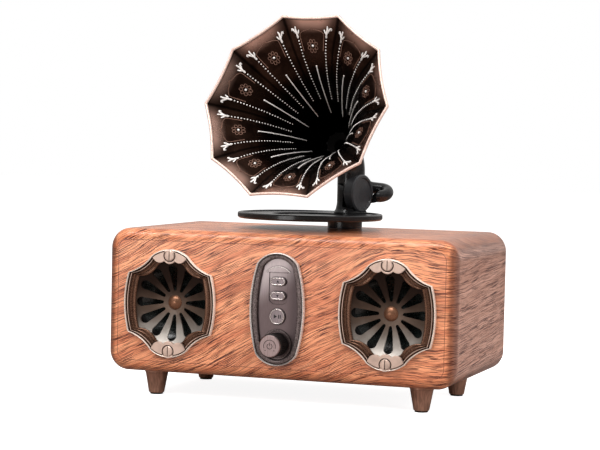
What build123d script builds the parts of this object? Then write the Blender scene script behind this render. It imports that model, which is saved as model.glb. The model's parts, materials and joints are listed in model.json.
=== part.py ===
from build123d import *
import math
import os

# Horn loudspeaker: a wooden cabinet on four feet with two grilles, a control panel, and a decorative
# gramophone horn on a swivelling arm. Millimetres, +Z up, the front faces -Y, the floor is Z = 0.
# The parts are drawn around the cabinet's centre line; save() moves them back by CABINET_Y, so that
# the origin ends up under the middle of the whole object.

# Cabinet
CABINET_W = 290.0
CABINET_D = 160.0
CABINET_H = 115.0
CABINET_WALL = 9.0
CABINET_CORNER_R = 16.0
FRONT_EDGE_R = 8.0
REAR_EDGE_R = 1.5
BAFFLE_T = 12.0
REAR_PANEL_T = 4.0
RABBET = 4.6
CABINET_Y = 8.4
REAR_SCREW_R = 1.1
REAR_SCREW_HEAD_R = 2.3
REAR_SCREW_SINK = 1.2
CROSS_LENGTH = 3.4
CROSS_W = 0.7

# Sockets and boards inside
PORT_Z = 62.0
USB_X = 30.0
USB_W = 9.0
USB_H = 3.4
AUX_X = 10.0
AUX_BODY_R = 4.0
AUX_BORE_R = 1.75
AUX_BORE_LENGTH = 14.0
REAR_BOARD_W = 84.0
REAR_BOARD_H = 44.0
REAR_BOARD_Y = 64.4
REAR_BOARD_T = 1.6
REAR_POST_R = 3.0
CELL_R = 9.3
CELL_LENGTH = 66.0
BATTERY_Y = 18.0

# Feet
FOOT_X = 112.0
FOOT_Y = 54.0
FOOT_H = 20.6
FOOT_TOP_R = 9.7
FOOT_BOTTOM_R = 6.3
FOOT_PAD_R = 5.2
FOOT_PAD_T = 1.2
FOOT_SCREW_R = 1.9
FOOT_SCREW_HEAD_R = 3.8
FOOT_SCREW_LOW = 8.0

# Grilles
GRILLE_X = 90.4
GRILLE_Z = 76.7
BEZEL_W = 78.0
BEZEL_H = 86.6
BEZEL_T = 4.0
BEZEL_OPENING_INSET = 9.0
DISH_R = 36.2
SLOT_COUNT = 12
SLOT_R = 3.8
SLOT_RING_R = 26.8
SLOT_START = 10.8
SLOT_START_R = 1.3
DISH_DEPTH = 10.0
DISH_T = 1.6
DISH_LIP = 1.6
DISH_LIP_T = 2.0
DISH_STEP = 0.4
BOSS_R = 5.8
CAP_SCREW_Z = 38.2
CAP_SCREW_R = 4.3
CAP_SHANK_R = 1.2
SCREW_SLOT_W = 0.7
UPPER_CAP_LOW = 31.9
LOWER_CAP_LOW = 30.4

# Drivers, behind the baffle
DRIVER_R = 41.0
DRIVER_SCREW_R = 1.4
DRIVER_SCREW_RING_R = 38.2
CONE_R = 30.0
SURROUND_R = 34.4
MAGNET_R = 22.5
MAGNET_T = 13.0
MAGNET_HOLE_R = 6.0
BASKET_DEPTH = 24.0
BASKET_BACK_R = 23.5
DUST_CAP_R = 13.2
DUST_CAP_T = 0.8
DRIVER_SCREW_HEAD_R = 2.5

# Control panel
PANEL_X = 0.8
PANEL_Z = 76.6
PANEL_W = 45.2
PANEL_H = 89.0
PANEL_T = 4.0
FACE_T = 2.5
FACE_RECESS = 0.2
UP_Z = 98.4
DOWN_Z = 87.1
MODE_Z = 70.9
KNOB_Z = 49.0
BAND_LOW = 80.2
BAND_W = 15.6
BAND_H = 25.2
BAND_R = 5.0
MOON_R = 13.5
MOON_FLAT = 8.8
PILL_W = 12.9
PILL_H = 6.6
MODE_R = 6.4
BUTTON_PROUD = 1.8
BUTTON_GAP = 0.15
BUTTON_TRAVEL = 0.8
KNOB_R = 9.3
KNOB_LENGTH = 14.6
KNOB_CAP_T = 1.6
KNOB_GAP = 1.2
KNURLS = 36
SHAFT_R = 2.95
ENCODER_BUSH_R = 3.6
BOARD_SCREW_R = 0.8

# Swivel, platter and arm
SWIVEL_X = 12.0
SWIVEL_Y = 51.5
POST_X = 16.0
POST_Y = 53.5
POST_R = 11.5
STUB_R = 14.5
SPIGOT_R = 8.0
RUNNING_GAP = 0.05
SOCKET_R = 11.0
ARM_SCREW_R = 3.0
PLATTER_X = -7.0
PLATTER_Y = 16.0
PLATTER_R = 60.0
PLATTER_LOW = 144.0
PLATTER_HIGH = 149.0
PLATTER_FLOOR = 148.0
RECESS_R = 31.3
KNUCKLE_Z = 165.3
KNUCKLE_YAW = -16.9
LUG_GAP = 0.3
DRUM_R = 15.9
DRUM_START = 3.5
DRUM_END = 12.5
PIN_R = 3.0
PIN_HEAD_R = 4.6
ELBOW_Z = 196.4
ELBOW_BEND_R = 20.0
TUBE_R = 5.0
TUBE_BEND_R = 7.0
TUBE_FLARE = 2.2
TUBE_FLARE_LENGTH = 11.0

# Horn, seen from its rim: L is the distance behind the rim plane
HORN_YAW = 6.3
HORN_PITCH = 19.71
HORN_LENGTH = 119.2
RIM_APOTHEM = 76.7
PETALS = 10
PETAL_BOW = 0.022
BELL_WALL = 1.1
BELL_LENGTH = 88.0
RIM_T = 2.0
BELL_STATIONS = [(0, 75.1), (4.5, 68.5), (13, 56.5), (26, 44), (46, 30.5), (67, 19.3), (88, 9.5)]
NECK_R = 12.0
THROAT_R = 5.4
NECK_END = 94.0
SPIGOT_END = 110.0
RING_L = 103.0
RING_T = 2.0
RING_SEAT_R = 6.8

CABINET_TOP = FOOT_H + CABINET_H
CABINET_MID = FOOT_H + CABINET_H / 2
FRONT = -CABINET_D / 2
REAR = CABINET_D / 2
BAFFLE_BACK = FRONT + BAFFLE_T
FACE_FRONT = FRONT + FACE_RECESS
FACE_BACK = FACE_FRONT + FACE_T
BOARD_FRONT = FACE_BACK + 6.8
KNOB_BACK = FACE_FRONT - KNOB_GAP
KNOB_FRONT = KNOB_BACK - KNOB_LENGTH
DRIVER_SEAT = -BAFFLE_BACK
ARM_SCREW_TOP = PLATTER_FLOOR + 3.5
SPIGOT_LOW = CABINET_TOP - CABINET_WALL - 3.0


def save(name, solid):
    """Write one sub-part, moved from the cabinet's centre line to the object's own origin."""
    export_step(Pos(0, CABINET_Y, 0) * solid, f"parts/{name}.step")


def front_frame(x, z, y=0.0):
    """A frame whose local x is X, local y is Z and local z points out of the cabinet's front."""
    return Plane(origin=(x, y, z), x_dir=(1, 0, 0), z_dir=(0, -1, 0))


def slab(sketch, front, back, x=0.0, z=0.0):
    """The outline, drawn in X and Z around (x, z), made solid between two depths along Y."""
    return extrude(front_frame(x, z, back) * sketch, amount=back - front, dir=(0, -1, 0))


def turned(profile):
    """A turned solid around Z from a closed outline of (radius, height) points."""
    return revolve(Plane.XZ * Polygon(*profile, align=None), axis=Axis.Z)


def disc(radius, low, high, hole=0.0):
    """A turned disc or ring around Z."""
    ring = extrude(Plane.XY.offset(low) * Circle(radius), amount=high - low)
    if hole:
        ring -= extrude(Plane.XY.offset(low) * Circle(hole), amount=high - low)
    return ring


def on_front(solid, x, z):
    """Stand a turned solid on the front: its height becomes the distance towards -Y from Y = 0."""
    return front_frame(x, z) * solid


def arc_outline(points):
    """A closed face of arcs: corner, middle of an arc, corner, middle of an arc, and so on."""
    count = len(points)
    arcs = [ThreePointArc(points[i], points[i + 1], points[(i + 2) % count]) for i in range(0, count, 2)]
    return Face(Wire(arcs))


def shield(inset):
    """The bezel's outline moved inwards: rounded ends and sides, joined by four hollow corners."""
    top = BEZEL_H / 2 - inset
    side = BEZEL_W / 2 - inset
    end_x, end_z = 15.6 - 0.45 * inset, 37.8 - 0.9 * inset
    flank_x, flank_z = 35.6 - 0.95 * inset, 24.0 - 0.35 * inset
    hollow_x, hollow_z = 24.3 - 0.62 * inset, 29.4 - 0.76 * inset
    return arc_outline([
        (-end_x, end_z), (0, top), (end_x, end_z), (hollow_x, hollow_z),
        (flank_x, flank_z), (side, 0), (flank_x, -flank_z), (hollow_x, -hollow_z),
        (end_x, -end_z), (0, -top), (-end_x, -end_z), (-hollow_x, -hollow_z),
        (-flank_x, -flank_z), (-side, 0), (-flank_x, flank_z), (-hollow_x, hollow_z),
    ])


def panel_outline(inset):
    """The control panel's outline moved inwards: long bulging sides between two arched ends."""
    side = PANEL_W / 2 - inset
    top = PANEL_H / 2 - 0.78 * inset
    shoulder_x, shoulder_z = 17.0 - 0.8 * inset, 36.0 - 0.5 * inset
    return arc_outline([
        (-shoulder_x, shoulder_z), (0, top), (shoulder_x, shoulder_z), (side, 0),
        (shoulder_x, -shoulder_z), (0, -top), (-shoulder_x, -shoulder_z), (-side, 0),
    ])


def cap_region(sign):
    """The plate that holds a bezel's screw, with its scalloped inner edge; sign -1 is the lower one."""
    low = UPPER_CAP_LOW if sign > 0 else LOWER_CAP_LOW
    notch, lobe, valley, middle = low + 2.2, low + 0.6, low + 1.8, low
    edge = [
        ThreePointArc((-12.6, notch), (-8.6, lobe), (-4.6, valley)),
        ThreePointArc((-4.6, valley), (0, middle), (4.6, valley)),
        ThreePointArc((4.6, valley), (8.6, lobe), (12.6, notch)),
        Polyline((12.6, notch), (17.5, 46), (-17.5, 46), (-12.6, notch)),
    ]
    upper = Face(Wire(Curve() + edge))
    return upper if sign > 0 else upper.rotate(Axis.Z, 180)


# ---------------------------------------------------------------- cabinet

def rounded(inset):
    """The cabinet's front outline moved inwards."""
    radius = max(CABINET_CORNER_R - inset, 5.0)
    return RectangleRounded(CABINET_W - 2 * inset, CABINET_H - 2 * inset, radius)


def cabinet_shell():
    """The wrap of four walls, with its rabbet, screw holes and the hole for the swivel."""
    shell = slab(rounded(0), FRONT, REAR, 0, CABINET_MID)
    shell = fillet(shell.faces().sort_by(Axis.Y)[0].edges(), FRONT_EDGE_R)
    shell = fillet(shell.faces().sort_by(Axis.Y)[-1].edges(), REAR_EDGE_R)
    shell -= slab(rounded(CABINET_WALL), FRONT - 1, REAR + 1, 0, CABINET_MID)
    shell -= slab(rounded(CABINET_WALL - RABBET), REAR - REAR_PANEL_T, REAR + 1, 0, CABINET_MID)
    shell -= Pos(SWIVEL_X, SWIVEL_Y, 0) * disc(SOCKET_R, CABINET_TOP - CABINET_WALL - 1, CABINET_TOP + 1)
    for x, y in foot_places():
        shell -= Pos(x, y, 0) * disc(FOOT_SCREW_R, FOOT_H - 1, FOOT_H + CABINET_WALL + 1)
    for x, z in rear_screw_places():
        shell -= rear_screw_hole(x, z)
    return shell


def front_baffle():
    """The front board, with holes for the dishes, the screws, the drivers and the panel."""
    baffle = slab(rounded(CABINET_WALL), FRONT, BAFFLE_BACK, 0, CABINET_MID)
    for side in (-1, 1):
        x = side * GRILLE_X
        baffle -= on_front(disc(DISH_R, -BAFFLE_BACK - 1, -FRONT + 1), x, GRILLE_Z)
        for end in (-1, 1):
            hole = disc(CAP_SHANK_R, -FRONT - 8, -FRONT + 1)
            baffle -= on_front(hole, x, GRILLE_Z + end * CAP_SCREW_Z)
        for px, pz in driver_screw_places(x):
            baffle -= on_front(disc(DRIVER_SCREW_R, -BAFFLE_BACK - 1, -BAFFLE_BACK + 6), px, pz)
    baffle -= slab(panel_outline(3.0), FRONT - 1, BAFFLE_BACK + 1, PANEL_X, PANEL_Z)
    return baffle


def rear_screw_places():
    """Six screws around the rear panel, in the ledge that it sits on."""
    side = CABINET_W / 2 - CABINET_WALL + RABBET / 2
    height = CABINET_H / 2 - CABINET_WALL + RABBET / 2
    low, high = CABINET_MID - height, CABINET_MID + height
    return [(-side, CABINET_MID), (side, CABINET_MID), (-90, low), (90, low), (-90, high), (90, high)]


def rear_screw_hole(x, z):
    return slab(Circle(REAR_SCREW_R), REAR - 14, REAR + 1, x, z)


def rear_post_places():
    return [(USB_X - 10 + dx, PORT_Z + dz) for dx in (-38, 38) for dz in (-18, 18)]


def rear_panel():
    """The back cover: screw seats, socket openings and four posts for the board."""
    outline = rounded(CABINET_WALL - RABBET)
    panel = slab(outline, REAR - REAR_PANEL_T, REAR, 0, CABINET_MID)
    for x, z in rear_screw_places():
        panel -= rear_screw_hole(x, z)
        panel -= slab(Circle(REAR_SCREW_HEAD_R), REAR - REAR_SCREW_SINK, REAR + 1, x, z)
    usb_hole = RectangleRounded(USB_W + 2.2, USB_H + 2.2, 2.7)
    panel -= slab(usb_hole, REAR - REAR_PANEL_T - 1, REAR + 1, USB_X, PORT_Z)
    panel -= slab(Circle(AUX_BODY_R), REAR - REAR_PANEL_T - 1, REAR + 1, AUX_X, PORT_Z)
    for x, z in rear_post_places():
        panel += slab(Circle(REAR_POST_R), REAR_BOARD_Y + REAR_BOARD_T, REAR - REAR_PANEL_T, x, z)
    return panel


def rear_panel_screws():
    """Six cross-head screws."""
    screws = []
    for x, z in rear_screw_places():
        head = slab(Circle(REAR_SCREW_HEAD_R), REAR - REAR_SCREW_SINK, REAR + 0.3, x, z)
        head -= slab(Rectangle(CROSS_LENGTH, CROSS_W), REAR - 0.4, REAR + 1, x, z)
        head -= slab(Rectangle(CROSS_W, CROSS_LENGTH), REAR - 0.4, REAR + 1, x, z)
        screws.append(head + slab(Circle(REAR_SCREW_R), REAR - 13, REAR - REAR_SCREW_SINK, x, z))
    return Compound(screws)


def main_board():
    """The circuit board on the rear panel's posts."""
    board = Rectangle(REAR_BOARD_W, REAR_BOARD_H)
    return slab(board, REAR_BOARD_Y, REAR_BOARD_Y + REAR_BOARD_T, USB_X - 10, PORT_Z)


def usb_socket():
    """USB-C inlet: a shell with a tongue, standing on the main board."""
    start = REAR_BOARD_Y + REAR_BOARD_T
    end = REAR - 0.6
    shell = slab(RectangleRounded(USB_W + 1, USB_H + 1, 2.1), start, end, USB_X, PORT_Z)
    shell -= slab(RectangleRounded(USB_W, USB_H, 1.65), end - 7, end + 1, USB_X, PORT_Z)
    return shell + slab(Rectangle(6.7, 0.8), end - 8, end - 1, USB_X, PORT_Z)


def aux_jack():
    """The round audio socket, through the rear panel."""
    start = REAR_BOARD_Y + REAR_BOARD_T
    jack = slab(Circle(AUX_BODY_R), start, REAR + 0.2, AUX_X, PORT_Z)
    return jack - slab(Circle(AUX_BORE_R), REAR + 0.2 - AUX_BORE_LENGTH, REAR + 1, AUX_X, PORT_Z)


def battery_pack():
    """Two round cells side by side in one wrap, lying on the cabinet's floor."""
    middle_z = FOOT_H + CABINET_WALL + CELL_R
    pack = Pos(0, BATTERY_Y + CELL_R, middle_z) * Box(CELL_LENGTH, 2 * CELL_R, 2 * CELL_R)
    for y in (BATTERY_Y, BATTERY_Y + 2 * CELL_R):
        pack += Pos(0, y, middle_z) * Rotation(0, 90, 0) * Cylinder(CELL_R, CELL_LENGTH)
    return pack


def foot_places():
    return [(x, y) for x in (-FOOT_X, FOOT_X) for y in (-FOOT_Y, FOOT_Y)]


def foot():
    """A turned, tapered foot with a hole for its screw and a seat for its pad."""
    body = turned([
        (0, FOOT_PAD_T), (FOOT_BOTTOM_R - 0.5, FOOT_PAD_T), (FOOT_BOTTOM_R, FOOT_PAD_T + 0.7),
        (FOOT_TOP_R - 0.5, FOOT_H - 3.2), (FOOT_TOP_R, FOOT_H - 2.4), (FOOT_TOP_R, FOOT_H), (0, FOOT_H),
    ])
    return body - disc(FOOT_SCREW_R, FOOT_SCREW_LOW, FOOT_H + 1)


def foot_pads():
    """Four rubber discs under the feet."""
    return Compound([Pos(x, y, 0) * disc(FOOT_PAD_R, 0, FOOT_PAD_T) for x, y in foot_places()])


def foot_screws():
    """Four screws from inside the cabinet into the feet."""
    floor = FOOT_H + CABINET_WALL
    screw = disc(FOOT_SCREW_R, FOOT_SCREW_LOW, floor) + disc(FOOT_SCREW_HEAD_R, floor, floor + 2.2)
    return Compound([Pos(x, y, 0) * screw for x, y in foot_places()])


# ---------------------------------------------------------------- grilles and drivers

def grille_bezel(x):
    """The cast surround: raised outer bead, stepped mouldings and two plates for the screws."""
    caps = cap_region(1) + cap_region(-1)
    front = FRONT - BEZEL_T
    bezel = slab(shield(0) - (shield(BEZEL_OPENING_INSET) - caps), front, FRONT, x, GRILLE_Z)
    bezel -= slab(shield(1.5) - caps, front - 1, front + 1.5, x, GRILLE_Z)
    bezel -= slab(shield(3.2) - caps, front + 1.0, front + 2.2, x, GRILLE_Z)
    bezel -= slab(shield(5.2) - caps, front + 2.0, front + 2.9, x, GRILLE_Z)
    for end in (-1, 1):
        z = GRILLE_Z + end * CAP_SCREW_Z
        bezel -= on_front(disc(CAP_SCREW_R + 0.3, -front - 1.4, -front + 1), x, z)
        bezel -= on_front(disc(CAP_SHANK_R, -FRONT - 1, -front + 1), x, z)
    return bezel


def bezel_screws():
    """Four slotted screws, their slots upright."""
    screws = []
    top = -FRONT + BEZEL_T
    for side in (-1, 1):
        for end in (-1, 1):
            screw = turned([
                (0, top - 9), (CAP_SHANK_R, top - 9), (CAP_SHANK_R, top - 1.4), (CAP_SCREW_R, top - 1.4),
                (CAP_SCREW_R, top - 0.2), (CAP_SCREW_R - 0.8, top + 0.4), (0, top + 0.5),
            ])
            screw -= Pos(0, 0, top + 0.4) * Box(SCREW_SLOT_W, 2 * CAP_SCREW_R + 1, 1.4)
            screws.append(on_front(screw, side * GRILLE_X, GRILLE_Z + end * CAP_SCREW_Z))
    return Compound(screws)


def dome_arc(crown, radius, edge):
    """A round line from the axis at height crown to (radius, edge); turned, it is part of a sphere."""
    rise = crown - edge
    sphere_r = (radius**2 + rise**2) / (2 * abs(rise))
    drop = sphere_r - math.sqrt(sphere_r**2 - (radius / 2) ** 2)
    return ThreePointArc((0, crown), (radius / 2, crown - math.copysign(drop, rise)), (radius, edge))


def turned_face(edges):
    """A turned solid around Z from closed edges drawn as (radius, height)."""
    return revolve(Plane.XZ * Face(Wire(edges)), axis=Axis.Z)


def grille_plate(x):
    """A hollow dish with twelve drop-shaped slots around its middle."""
    face, lip = -FRONT, DISH_R - DISH_LIP
    edge = face - DISH_STEP
    front = dome_arc(face - DISH_DEPTH, lip, edge)
    back = dome_arc(face - DISH_DEPTH - DISH_T, lip, edge - DISH_T)
    rim = [(lip, edge), (lip, face), (DISH_R, face), (DISH_R, face - DISH_LIP_T), (lip, edge - DISH_T)]
    centre = Line((0, face - DISH_DEPTH - DISH_T), (0, face - DISH_DEPTH))
    dish = turned_face([front, *Polyline(*rim).edges(), back, centre])
    wide = SLOT_R - 0.1
    slot = Pos(0, SLOT_RING_R) * Circle(SLOT_R) + Pos(0, SLOT_START) * Circle(SLOT_START_R)
    slot += Polygon(
        (-SLOT_START_R, SLOT_START), (SLOT_START_R, SLOT_START), (wide, SLOT_RING_R), (-wide, SLOT_RING_R),
        align=None,
    )
    cutter = extrude(Plane.XY.offset(-FRONT - 20) * slot, amount=25)
    dish -= [Rotation(0, 0, i * 360 / SLOT_COUNT) * cutter for i in range(SLOT_COUNT)]
    return on_front(dish, x, GRILLE_Z)


def grille_boss(x):
    """The domed button at the middle of the dish."""
    seat = -FRONT - DISH_DEPTH + 0.35
    crown = seat + 2.6
    base = Polyline((BOSS_R, seat), (0, seat), (0, crown))
    return on_front(turned_face([dome_arc(crown, BOSS_R, seat), *base.edges()]), x, GRILLE_Z)


def driver_screw_places(x):
    """Four screws on the driver's flange, on the diagonals."""
    reach = DRIVER_SCREW_RING_R * math.sqrt(0.5)
    return [(x + dx * reach, GRILLE_Z + dz * reach) for dx in (-1, 1) for dz in (-1, 1)]


def driver_basket(x):
    """The pressed frame: a flange, a conical body with four windows, and a back plate."""
    seat = DRIVER_SEAT
    basket = turned([
        (SURROUND_R, seat), (DRIVER_R, seat), (DRIVER_R, seat - 1.6), (SURROUND_R + 1, seat - 1.6),
        (BASKET_BACK_R, seat - 22), (BASKET_BACK_R, seat - BASKET_DEPTH), (8, seat - BASKET_DEPTH),
        (8, seat - 22.4), (BASKET_BACK_R - 1.2, seat - 22.4), (SURROUND_R, seat - 2.2),
    ])
    window = Pos(0, 27, seat - 12) * Box(22, 24, 13)
    basket -= [Rotation(0, 0, 45 + 90 * i) * window for i in range(4)]
    basket = on_front(basket, x, GRILLE_Z)
    for px, pz in driver_screw_places(x):
        basket -= on_front(disc(DRIVER_SCREW_R, seat - 3, seat + 1), px, pz)
    return basket


def driver_magnet(x):
    """The ring magnet behind the basket's back plate."""
    seat = DRIVER_SEAT - BASKET_DEPTH
    return on_front(disc(MAGNET_R, seat - MAGNET_T, seat, MAGNET_HOLE_R), x, GRILLE_Z)


def driver_cone(x):
    """The paper cone and its neck."""
    seat = DRIVER_SEAT
    cone = turned([
        (CONE_R, seat - 1.0), (CONE_R, seat - 1.9), (12, seat - 16.8), (10, seat - 21), (9, seat - 21),
        (11, seat - 16),
    ])
    return on_front(cone, x, GRILLE_Z)


def driver_surround(x):
    """The rubber half roll between the cone and the flange."""
    middle = (CONE_R + SURROUND_R) / 2
    seat = DRIVER_SEAT - 1.0
    roll = ThreePointArc((CONE_R, seat), (middle, seat + 2.2), (SURROUND_R, seat))
    under = ThreePointArc((SURROUND_R, seat - 0.9), (middle, seat + 1.3), (CONE_R, seat - 0.9))
    outer_side = Line((SURROUND_R, seat), (SURROUND_R, seat - 0.9))
    inner_side = Line((CONE_R, seat - 0.9), (CONE_R, seat))
    return on_front(turned_face([roll, outer_side, under, inner_side]), x, GRILLE_Z)


def dust_cap(x):
    """The domed cap glued over the cone's neck."""
    low = DRIVER_SEAT - 14.2
    crown, inner_r = low + 6, DUST_CAP_R - DUST_CAP_T
    outer = dome_arc(crown, DUST_CAP_R, low)
    inner = dome_arc(crown - DUST_CAP_T, inner_r, low)
    edge = Line((DUST_CAP_R, low), (inner_r, low))
    centre = Line((0, crown - DUST_CAP_T), (0, crown))
    return on_front(turned_face([outer, edge, inner, centre]), x, GRILLE_Z)


def driver_screws():
    """Eight screws through the drivers' flanges."""
    seat = -DRIVER_SEAT
    screws = []
    for side in (-1, 1):
        for x, z in driver_screw_places(side * GRILLE_X):
            shank = slab(Circle(DRIVER_SCREW_R), seat - 5, seat + 1.6, x, z)
            screws.append(shank + slab(Circle(DRIVER_SCREW_HEAD_R), seat + 1.6, seat + 3.4, x, z))
    return Compound(screws)


# ---------------------------------------------------------------- control panel

def control_panel_frame():
    """The cast surround: a raised bead, a lower textured border and a step down to the face."""
    front = FRONT - PANEL_T
    frame = slab(panel_outline(0) - panel_outline(6.0), front, FRONT, PANEL_X, PANEL_Z)
    frame -= slab(panel_outline(1.4), front - 1, front + 1.6, PANEL_X, PANEL_Z)
    return frame


def board_post_places():
    return [(PANEL_X + dx, PANEL_Z + dz) for dx, dz in ((-12, 20), (12, 20), (-13.5, -14), (13.5, -14))]


def control_panel_face():
    """The inner plate: a half moon in relief over a sunk slot for two of the buttons."""
    face = slab(panel_outline(3.1), FACE_FRONT, FACE_BACK, PANEL_X, PANEL_Z)
    band = RectangleRounded(BAND_W, BAND_H, BAND_R) + Pos(0, BAND_R) * Rectangle(BAND_W, BAND_H - 2 * BAND_R)
    face -= slab(band, FACE_FRONT - 1, FACE_FRONT + 0.8, PANEL_X, BAND_LOW + BAND_H / 2)
    moon_centre = BAND_LOW + BAND_H - MOON_FLAT
    moon = Circle(MOON_R) & Pos(0, MOON_FLAT + MOON_R / 2) * Rectangle(2 * MOON_R, MOON_R)
    face += slab(moon, FACE_FRONT - 0.6, FACE_FRONT + 0.5, PANEL_X, moon_centre + 0.4)
    for z in (UP_Z, DOWN_Z):
        hole = SlotOverall(PILL_W + 2 * BUTTON_GAP, PILL_H + 2 * BUTTON_GAP)
        face -= slab(hole, FACE_FRONT - 1, FACE_BACK + 1, PANEL_X, z)
    face -= slab(Circle(MODE_R + BUTTON_GAP), FACE_FRONT - 1, FACE_BACK + 1, PANEL_X, MODE_Z)
    face -= slab(Circle(ENCODER_BUSH_R), FACE_FRONT - 1, FACE_BACK + 1, PANEL_X, KNOB_Z)
    for x, z in board_post_places():
        face += slab(Circle(2.0), FACE_BACK, BOARD_FRONT, x, z)
        face -= slab(Circle(BOARD_SCREW_R), FACE_BACK + 1, BOARD_FRONT, x, z)
    return face


def button(outline, flange, z):
    """A push button: its cap, a flange that keeps it in, and a stem that reaches its switch."""
    cap = slab(outline, FACE_FRONT - BUTTON_PROUD, FACE_BACK + 0.3, PANEL_X, z)
    cap = fillet(cap.faces().sort_by(Axis.Y)[0].edges(), 0.6)
    cap += slab(flange, FACE_BACK + 0.3, FACE_BACK + 1.1, PANEL_X, z)
    return cap + slab(Circle(1.6), FACE_BACK + 1.1, FACE_BACK + 2.0, PANEL_X, z)


def pill_button(z):
    return button(SlotOverall(PILL_W, PILL_H), SlotOverall(PILL_W + 1.4, PILL_H + 1.4), z)


def mode_button():
    return button(Circle(MODE_R), Circle(MODE_R + 0.9), MODE_Z)


def tact_switches():
    """One switch behind each button; a pressed button stops just short of its plunger's travel."""
    switches = []
    for z in (UP_Z, DOWN_Z, MODE_Z):
        body = slab(Rectangle(6, 6), BOARD_FRONT - 3.4, BOARD_FRONT, PANEL_X, z)
        plunger = slab(Circle(1.4), FACE_BACK + 2.0 + BUTTON_TRAVEL + 0.1, BOARD_FRONT - 3.4, PANEL_X, z)
        switches.append(body + plunger)
    return Compound(switches)


def control_board():
    """The board behind the panel, on four posts."""
    board = slab(RectangleRounded(31, 60, 2), BOARD_FRONT, BOARD_FRONT + 1.6, PANEL_X, PANEL_Z - 0.5)
    for x, z in board_post_places():
        board -= slab(Circle(BOARD_SCREW_R), BOARD_FRONT - 1, BOARD_FRONT + 3, x, z)
    return board


def board_screws():
    """Four screws into the panel's posts."""
    screws = []
    for x, z in board_post_places():
        shank = slab(Circle(BOARD_SCREW_R), BOARD_FRONT - 4, BOARD_FRONT + 1.6, x, z)
        screws.append(shank + slab(Circle(1.7), BOARD_FRONT + 1.6, BOARD_FRONT + 2.8, x, z))
    return Compound(screws)


def encoder_body():
    """The rotary encoder: a case with a hollow for the plunger and a bush through the panel's face."""
    case = slab(Rectangle(12, 12), FACE_BACK + 0.3, BOARD_FRONT, PANEL_X, KNOB_Z)
    case += slab(Circle(ENCODER_BUSH_R), FACE_FRONT, FACE_BACK + 0.3, PANEL_X, KNOB_Z)
    case -= slab(Circle(SHAFT_R + RUNNING_GAP), FACE_FRONT - 1, FACE_BACK + 2, PANEL_X, KNOB_Z)
    return case - slab(Circle(4.2), FACE_BACK + 1.4, FACE_BACK + 5.0, PANEL_X, KNOB_Z)


def encoder_plunger():
    """The disc that slides in the encoder's case and carries the shaft."""
    return slab(Circle(3.8), FACE_BACK + 2.2, FACE_BACK + 3.4, PANEL_X, KNOB_Z)


def encoder_shaft():
    """The shaft that turns with the knob."""
    return slab(Circle(SHAFT_R), KNOB_FRONT + 1.4, FACE_BACK + 2.2, PANEL_X, KNOB_Z)


def knob_ring():
    """The raised ring on the face around the foot of the knob."""
    return on_front(disc(11.8, -FACE_FRONT, -FACE_FRONT + 1.3, 10.5), PANEL_X, KNOB_Z)


def volume_knob():
    """The knurled knob, bored for the shaft."""
    knob = slab(Circle(KNOB_R), KNOB_FRONT, KNOB_BACK, PANEL_X, KNOB_Z)
    knob = chamfer(knob.faces().sort_by(Axis.Y)[0].edges(), 0.5)
    for i in range(KNURLS):
        angle = 2 * math.pi * i / KNURLS
        x = PANEL_X + (KNOB_R + 0.15) * math.cos(angle)
        z = KNOB_Z + (KNOB_R + 0.15) * math.sin(angle)
        knob -= slab(Circle(0.5), KNOB_FRONT + 1.6, KNOB_BACK - 1.6, x, z)
    return knob - slab(Circle(SHAFT_R), KNOB_FRONT + 1.4, KNOB_BACK + 1, PANEL_X, KNOB_Z)


def knob_cap():
    """The metal disc on the knob's face."""
    cap = slab(Circle(KNOB_R - 0.7), KNOB_FRONT - KNOB_CAP_T, KNOB_FRONT, PANEL_X, KNOB_Z)
    return fillet(cap.faces().sort_by(Axis.Y)[0].edges(), 0.7)


# ---------------------------------------------------------------- swivel, platter and arm

def at_swivel(solid):
    return Pos(SWIVEL_X, SWIVEL_Y, 0) * solid


def at_post(solid):
    return Pos(POST_X, POST_Y, 0) * solid


def arm_socket():
    """A flanged bush, let into the cabinet's top from below."""
    low = CABINET_TOP - CABINET_WALL
    bush = disc(SOCKET_R, low, CABINET_TOP - 0.2) + disc(15, low - 2.6, low)
    return at_swivel(bush - disc(SPIGOT_R + RUNNING_GAP, low - 3, CABINET_TOP))


def swivel_stub():
    """The round foot between the cabinet and the platter, with the spigot that turns in the bush."""
    stub = disc(STUB_R, CABINET_TOP + 0.3, PLATTER_LOW) + disc(SPIGOT_R, SPIGOT_LOW, CABINET_TOP + 0.3)
    return at_swivel(stub - disc(ARM_SCREW_R, SPIGOT_LOW - 1, PLATTER_LOW + 1))


def swivel_screw():
    """One long screw from below: it holds stub, platter and bracket, and its head keeps the arm in."""
    return at_swivel(disc(ARM_SCREW_R, SPIGOT_LOW, ARM_SCREW_TOP) + disc(11, SPIGOT_LOW - 3, SPIGOT_LOW))


def platter():
    """The round tray with a raised edge and a sunk middle, which looks like a turntable."""
    plate = turned([
        (0, PLATTER_LOW), (PLATTER_R - 1.2, PLATTER_LOW), (PLATTER_R, PLATTER_LOW + 1.2),
        (PLATTER_R, PLATTER_HIGH - 0.8), (PLATTER_R - 0.8, PLATTER_HIGH), (PLATTER_R - 3.4, PLATTER_HIGH),
        (PLATTER_R - 4.0, PLATTER_FLOOR), (RECESS_R + 0.6, PLATTER_FLOOR), (RECESS_R, PLATTER_FLOOR - 2.0),
        (0, PLATTER_FLOOR - 2.0),
    ])
    plate = Pos(PLATTER_X, PLATTER_Y, 0) * plate
    return plate - at_swivel(disc(ARM_SCREW_R, PLATTER_LOW - 1, PLATTER_HIGH + 1))


def platter_mat():
    """The thin mat in the platter's middle."""
    low = PLATTER_FLOOR - 2.0
    return Pos(PLATTER_X, PLATTER_Y, 0) * disc(RECESS_R - 4.5, low, low + 0.8)


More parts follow.
